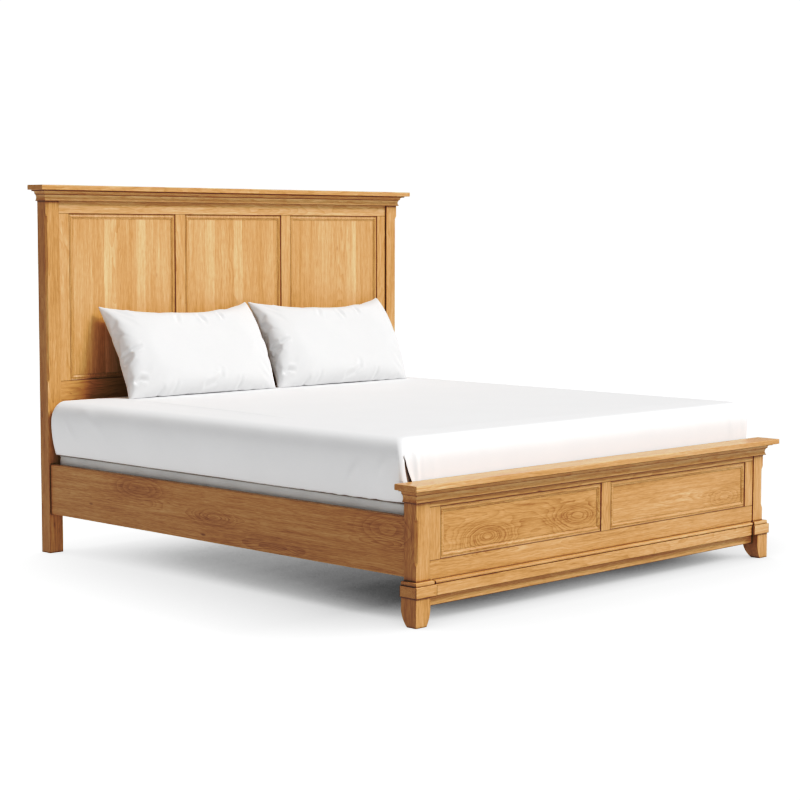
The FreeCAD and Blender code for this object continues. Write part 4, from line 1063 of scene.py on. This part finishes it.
# A pillow's cut, its size when filled, and how it leans: its middle is as far in front of the
# headboard's posts, and above the sheet, as the solid's.
PILLOW_CUT = (0.86, 0.48)
PILLOW_SIZE = (0.812, 0.448, 0.156)
PILLOW_LEAN = math.radians(28)
PILLOW_FORWARD = 118 * MILLIMETRE
PILLOW_RISE = 180 * MILLIMETRE
PILLOW_TOP_DIP = 64 * MILLIMETRE
PILLOW_BASE_DIP = 10 * MILLIMETRE
PILLOW_BOW = 24 * MILLIMETRE

# Creases of a pillow's front, from its middle: points across and up, depth and width
PILLOW_CREASES = (
    (((-0.392, -0.026), (-0.362, -0.015), (-0.318, -0.002)), 0.0125, 0.0075),
    (((-0.386, -0.055), (-0.366, -0.038)), 0.0080, 0.0065),
    (((-0.374, -0.151), (-0.356, -0.143), (-0.321, -0.150)), 0.0120, 0.0090),
    (((-0.030, -0.196), (0.023, -0.183), (0.053, -0.160), (0.067, -0.124)), 0.0085, 0.0100),
    (((0.035, 0.125), (0.060, 0.080)), 0.0055, 0.0090),
    (((0.150, 0.135), (0.158, 0.095)), 0.0050, 0.0080),
    (((-0.085, 0.130), (-0.100, 0.090)), 0.0040, 0.0100),
    (((-0.200, -0.205), (-0.180, -0.165)), 0.0050, 0.0080),
    (((0.160, -0.200), (0.175, -0.165)), 0.0040, 0.0080),
)


def coordinates(mesh):
    points = np.empty(len(mesh.vertices) * 3, np.float32)
    mesh.vertices.foreach_get("co", points)
    return points.reshape(-1, 3)


def apply_modifiers(piece):
    """Replaces a piece's mesh by what its modifiers make of it."""
    graph = bpy.context.evaluated_depsgraph_get()
    made = bpy.data.meshes.new_from_object(piece.evaluated_get(graph), depsgraph=graph)
    piece.modifiers.clear()
    old, piece.data = piece.data, made
    bpy.data.meshes.remove(old)


def sewn_bag(width, height):
    """Two rectangles of cloth, sewn together round their edges."""
    bm = bmesh.new()
    columns = 110
    bmesh.ops.create_grid(bm, x_segments=columns, y_segments=round(columns * height / width),
                          size=0.5)
    bmesh.ops.scale(bm, vec=(width, height, 1), verts=bm.verts)
    front = bmesh.ops.extrude_face_region(bm, geom=bm.faces[:])["geom"]
    bmesh.ops.translate(bm, vec=(0, 0, 4 * MILLIMETRE),
                        verts=[item for item in front if isinstance(item, bmesh.types.BMVert)])
    bmesh.ops.recalc_face_normals(bm, faces=bm.faces)
    for vert in bm.verts:
        vert.co.z += 2 * MILLIMETRE * noise.noise(vert.co * 14)
    return bm


def fill(piece, pressure, frames):
    """Blows a sewn bag up until its cloth is full."""
    cloth = piece.modifiers.new("Filling", "CLOTH")
    settings = cloth.settings
    settings.quality, settings.mass = 6, 0.3
    settings.tension_stiffness, settings.compression_stiffness = 40, 20
    settings.shear_stiffness, settings.bending_stiffness = 5, 0.5
    settings.use_pressure, settings.uniform_pressure_force = True, pressure
    settings.effector_weights.gravity = 0
    cloth.collision_settings.use_collision = False
    cloth.point_cache.frame_start, cloth.point_cache.frame_end = 1, frames + 1
    for step in range(1, frames + 1):
        bpy.context.scene.frame_set(step)
    apply_modifiers(piece)
    bpy.context.scene.frame_set(1)


def shape_to_outline(points):
    """Brings a filled bag to its finished size, with its long edges drawn in by their dips."""
    low, high = points.min(axis=0), points.max(axis=0)
    points -= (low + high) / 2
    points *= np.array(PILLOW_SIZE) / (high - low)
    half = PILLOW_SIZE[0] / 2
    places = np.linspace(-half, half, 41)
    for sign, dip in ((1, PILLOW_TOP_DIP), (-1, PILLOW_BASE_DIP)):
        reach = np.array([
            (sign * points[np.abs(points[:, 0] - at) < half / 20, 1]).max() for at in places])
        wanted = PILLOW_SIZE[1] / 2 - dip * (1 - (places / half) ** 2)
        ratio = np.interp(points[:, 0], places, wanted / reach)
        mine = sign * points[:, 1] > 0
        points[mine, 1] *= ratio[mine]
    up = points[:, 1] / (PILLOW_SIZE[1] / 2)
    points[:, 2] += PILLOW_BOW * (1 - np.clip(up ** 2, 0, 1))
    return points


def crease_front(points):
    """Presses the creases into the front of a pillow."""
    front = np.clip(points[:, 2] / 0.03, 0, 1)
    for line, deep, wide in PILLOW_CREASES:
        ends = np.array(line)
        lengths = np.linalg.norm(np.diff(ends, axis=0), axis=1)
        best, where = np.full(len(points), 9.0), np.zeros(len(points))
        for i, length in enumerate(lengths):
            along = (ends[i + 1] - ends[i]) / length
            off = points[:, :2] - ends[i]
            share = np.clip(off @ along, 0, length)
            far = np.linalg.norm(off - share[:, None] * along, axis=1)
            nearer = far < best
            best = np.where(nearer, far, best)
            where = np.where(nearer, (lengths[:i].sum() + share) / lengths.sum(), where)
        fade = np.sin(math.pi * np.minimum(1, 0.30 + 0.70 * where))
        press = np.exp(-(best / wide) ** 2) - 0.45 * np.exp(-(best / wide - 2) ** 2)
        points[:, 2] -= deep * fade * press * front
    return points


class PANELBED_OT_pillows(bpy.types.Operator):
    """Fill two pillows and lean them on the headboard"""

    bl_idname = "panel_bed.pillows"
    bl_label = "Fill the Pillows"

    def execute(self, context):
        cloth = context.scene.panel_bed_cloth
        material = woven("pillow_cotton", cloth.pillow, 0.6 * MILLIMETRE, 0.3, 0.02)
        pattern = piece_from("pillow_pattern", sewn_bag(*PILLOW_CUT), material)
        fill(pattern, cloth.pressure, 21)
        finer = pattern.modifiers.new("Finer", "SUBSURF")
        finer.levels = finer.render_levels = 1
        apply_modifiers(pattern)
        points = crease_front(shape_to_outline(coordinates(pattern.data)))
        head_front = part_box("headboard_left_post")[0].y
        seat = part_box("left_pillow")[0].z
        for side in ("left", "right"):
            node = side + "_pillow"
            low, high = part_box(node)
            mesh = pattern.data.copy()
            placed = self.lean(points, (low.x + high.x) / 2, head_front, seat)
            mesh.vertices.foreach_set("co", placed.astype(np.float32).ravel())
            for face in mesh.polygons:
                face.use_smooth = True
            piece = bpy.data.objects.new(side + "_pillow_cover", mesh)
            context.scene.collection.objects.link(piece)
            stand_for(piece, node, "pillow_cotton", node)
        bpy.data.objects.remove(pattern)
        return {"FINISHED"}

    @staticmethod
    def lean(points, middle_x, head_front, seat):
        """Turns a pillow up against the headboard and rests it on the sheet."""
        across, up, front = points.T
        tilt_sin, tilt_cos = math.sin(PILLOW_LEAN), math.cos(PILLOW_LEAN)
        y = head_front - PILLOW_FORWARD + up * tilt_sin - front * tilt_cos
        z = seat + PILLOW_RISE + up * tilt_cos + front * tilt_sin
        # Where it would sink into the sheet or the headboard it is pressed flat
        soft = 6 * MILLIMETRE
        z = seat + np.where(z - seat > soft, z - seat, soft * np.exp((z - seat) / soft - 1))
        return np.stack([across + middle_x, y, z], axis=1)


# ---------------------------------------------------------------------------------------------
# Stage
# ---------------------------------------------------------------------------------------------


# Light that reaches the film, and how bright it shows
FILM = (
    (0.05, 0.020), (0.10, 0.048), (0.18, 0.140), (0.29, 0.300), (0.40, 0.430), (0.50, 0.575),
    (0.63, 0.720), (0.90, 0.900),
)


class PANELBED_OT_stage(bpy.types.Operator):
    """Set the pale floor, the white room, the lamp and the camera"""

    bl_idname = "panel_bed.stage"
    bl_label = "Set the Stage"

    def execute(self, context):
        settings = context.scene.panel_bed_stage
        self.lay_floor(settings)
        self.light_room(context, settings)
        self.hang_lamp(settings)
        self.stand_camera(context, settings)
        self.set_film(context)
        return {"FINISHED"}

    def set_film(self, context):
        """The contrast of studio film: deeper shadows under the same whites."""
        view = context.scene.view_settings
        view.view_transform = "Standard"
        view.use_curve_mapping = True
        curve = view.curve_mapping.curves[3]
        for light, shown in FILM:
            curve.points.new(light, shown)
        view.curve_mapping.update()

    def lay_floor(self, settings):
        bm = bmesh.new()
        bmesh.ops.create_grid(bm, x_segments=2, y_segments=2, size=60)
        material, tree, _ = new_material("studio_floor")
        glow = tree.nodes.new("ShaderNodeEmission")
        sky = tree.nodes.new("ShaderNodeAmbientOcclusion")
        sky.samples = 24
        sky.inputs["Distance"].default_value = 0.75
        # The shadow under the bed is deepest at its foot
        y = split(tree, object_place(tree))[1]
        deep = maths(tree, "MULTIPLY", ranged(tree, y, -0.95, 1.1, 1.05, 0.25),
                     ranged(tree, y, -1.15, -0.70, 0.25, 1.0))
        shade = maths(tree, "POWER", sky.outputs["AO"], deep)
        seen = tree.nodes.new("ShaderNodeLightPath").outputs["Is Camera Ray"]
        full = ranged(tree, seen, 0.0, 1.0, settings.floor_bounce, settings.floor_glow)
        feed(tree, glow.inputs["Strength"], maths(tree, "MULTIPLY", shade, full))
        tree.links.new(glow.outputs[0], tree.nodes["Material Output"].inputs["Surface"])
        piece_from("studio_floor", bm, material)

    def light_room(self, context, settings):
        world = bpy.data.worlds.new("white_room")
        world.use_nodes = True
        tree = world.node_tree
        context.scene.world = world
        background = tree.nodes["Background"]
        background.inputs["Color"].default_value = (1, 1, 1, 1)
        seen = tree.nodes.new("ShaderNodeLightPath").outputs["Is Camera Ray"]
        feed(tree, background.inputs["Strength"],
             ranged(tree, seen, 0.0, 1.0, settings.room_light, 1.05))

    def hang_lamp(self, settings):
        lamp = bpy.data.lights.new("key_lamp", "SUN")
        lamp.energy, lamp.angle = settings.key_power, math.radians(26)
        hung = bpy.data.objects.new("key_lamp", lamp)
        bpy.context.scene.collection.objects.link(hung)
        hung.location = (3.6, -5.5, 6.8)
        hung.rotation_euler = (-hung.location).to_track_quat("-Z", "Y").to_euler()

    def stand_camera(self, context, settings):
        turn, dip, roll = settings.camera_turn, settings.camera_dip, settings.camera_roll
        ahead = Vector((-math.sin(turn) * math.cos(dip), math.cos(turn) * math.cos(dip),
                        -math.sin(dip)))
        right = Vector((math.cos(turn), math.sin(turn), 0))
        up = right.cross(ahead)
        right, up = (right * math.cos(roll) + up * math.sin(roll),
                     up * math.cos(roll) - right * math.sin(roll))
        data = bpy.data.cameras.new("studio_camera")
        data.lens, data.sensor_width = settings.camera_lens, 36
        data.clip_end = 200
        camera = bpy.data.objects.new("studio_camera", data)
        context.scene.collection.objects.link(camera)
        camera.matrix_world = Matrix((
            (right.x, up.x, -ahead.x, settings.camera_place[0]),
            (right.y, up.y, -ahead.y, settings.camera_place[1]),
            (right.z, up.z, -ahead.z, settings.camera_place[2]),
            (0, 0, 0, 1),
        ))
        context.scene.camera = camera


# ---------------------------------------------------------------------------------------------
# Add-on
# ---------------------------------------------------------------------------------------------

MAKING_ORDER = (
    PANELBED_OT_stage, PANELBED_OT_wood, PANELBED_OT_hardware, PANELBED_OT_foundations,
    PANELBED_OT_mattress, PANELBED_OT_sheet, PANELBED_OT_pillows,
)


class PANELBED_PT_sidebar(bpy.types.Panel):
    bl_label = "Panel Bed"
    bl_idname = "PANELBED_PT_sidebar"
    bl_space_type = "VIEW_3D"
    bl_region_type = "UI"
    bl_category = "Panel Bed"

    def draw(self, context):
        for operator in MAKING_ORDER:
            self.layout.operator(operator.bl_idname)
        for group in ("panel_bed_wood", "panel_bed_cloth", "panel_bed_stage"):
            box = self.layout.box()
            settings = getattr(context.scene, group)
            for name in settings.bl_rna.properties.keys():
                if name not in ("rna_type", "name"):
                    box.prop(settings, name)


SETTINGS = {
    "panel_bed_wood": PANELBED_PG_wood,
    "panel_bed_cloth": PANELBED_PG_cloth,
    "panel_bed_stage": PANELBED_PG_stage,
}


def register():
    for cls in (*SETTINGS.values(), *MAKING_ORDER, PANELBED_PT_sidebar):
        bpy.utils.register_class(cls)
    for name, group in SETTINGS.items():
        setattr(bpy.types.Scene, name, bpy.props.PointerProperty(type=group))


def unregister():
    for name in SETTINGS:
        delattr(bpy.types.Scene, name)
    for cls in reversed((*SETTINGS.values(), *MAKING_ORDER, PANELBED_PT_sidebar)):
        bpy.utils.unregister_class(cls)


def main():
    register()
    for operator in MAKING_ORDER:
        group, name = operator.bl_idname.split(".")
        if getattr(getattr(bpy.ops, group), name)() != {"FINISHED"}:
            raise RuntimeError(operator.bl_label + " did not finish")


if __name__ == "__main__":
    main()
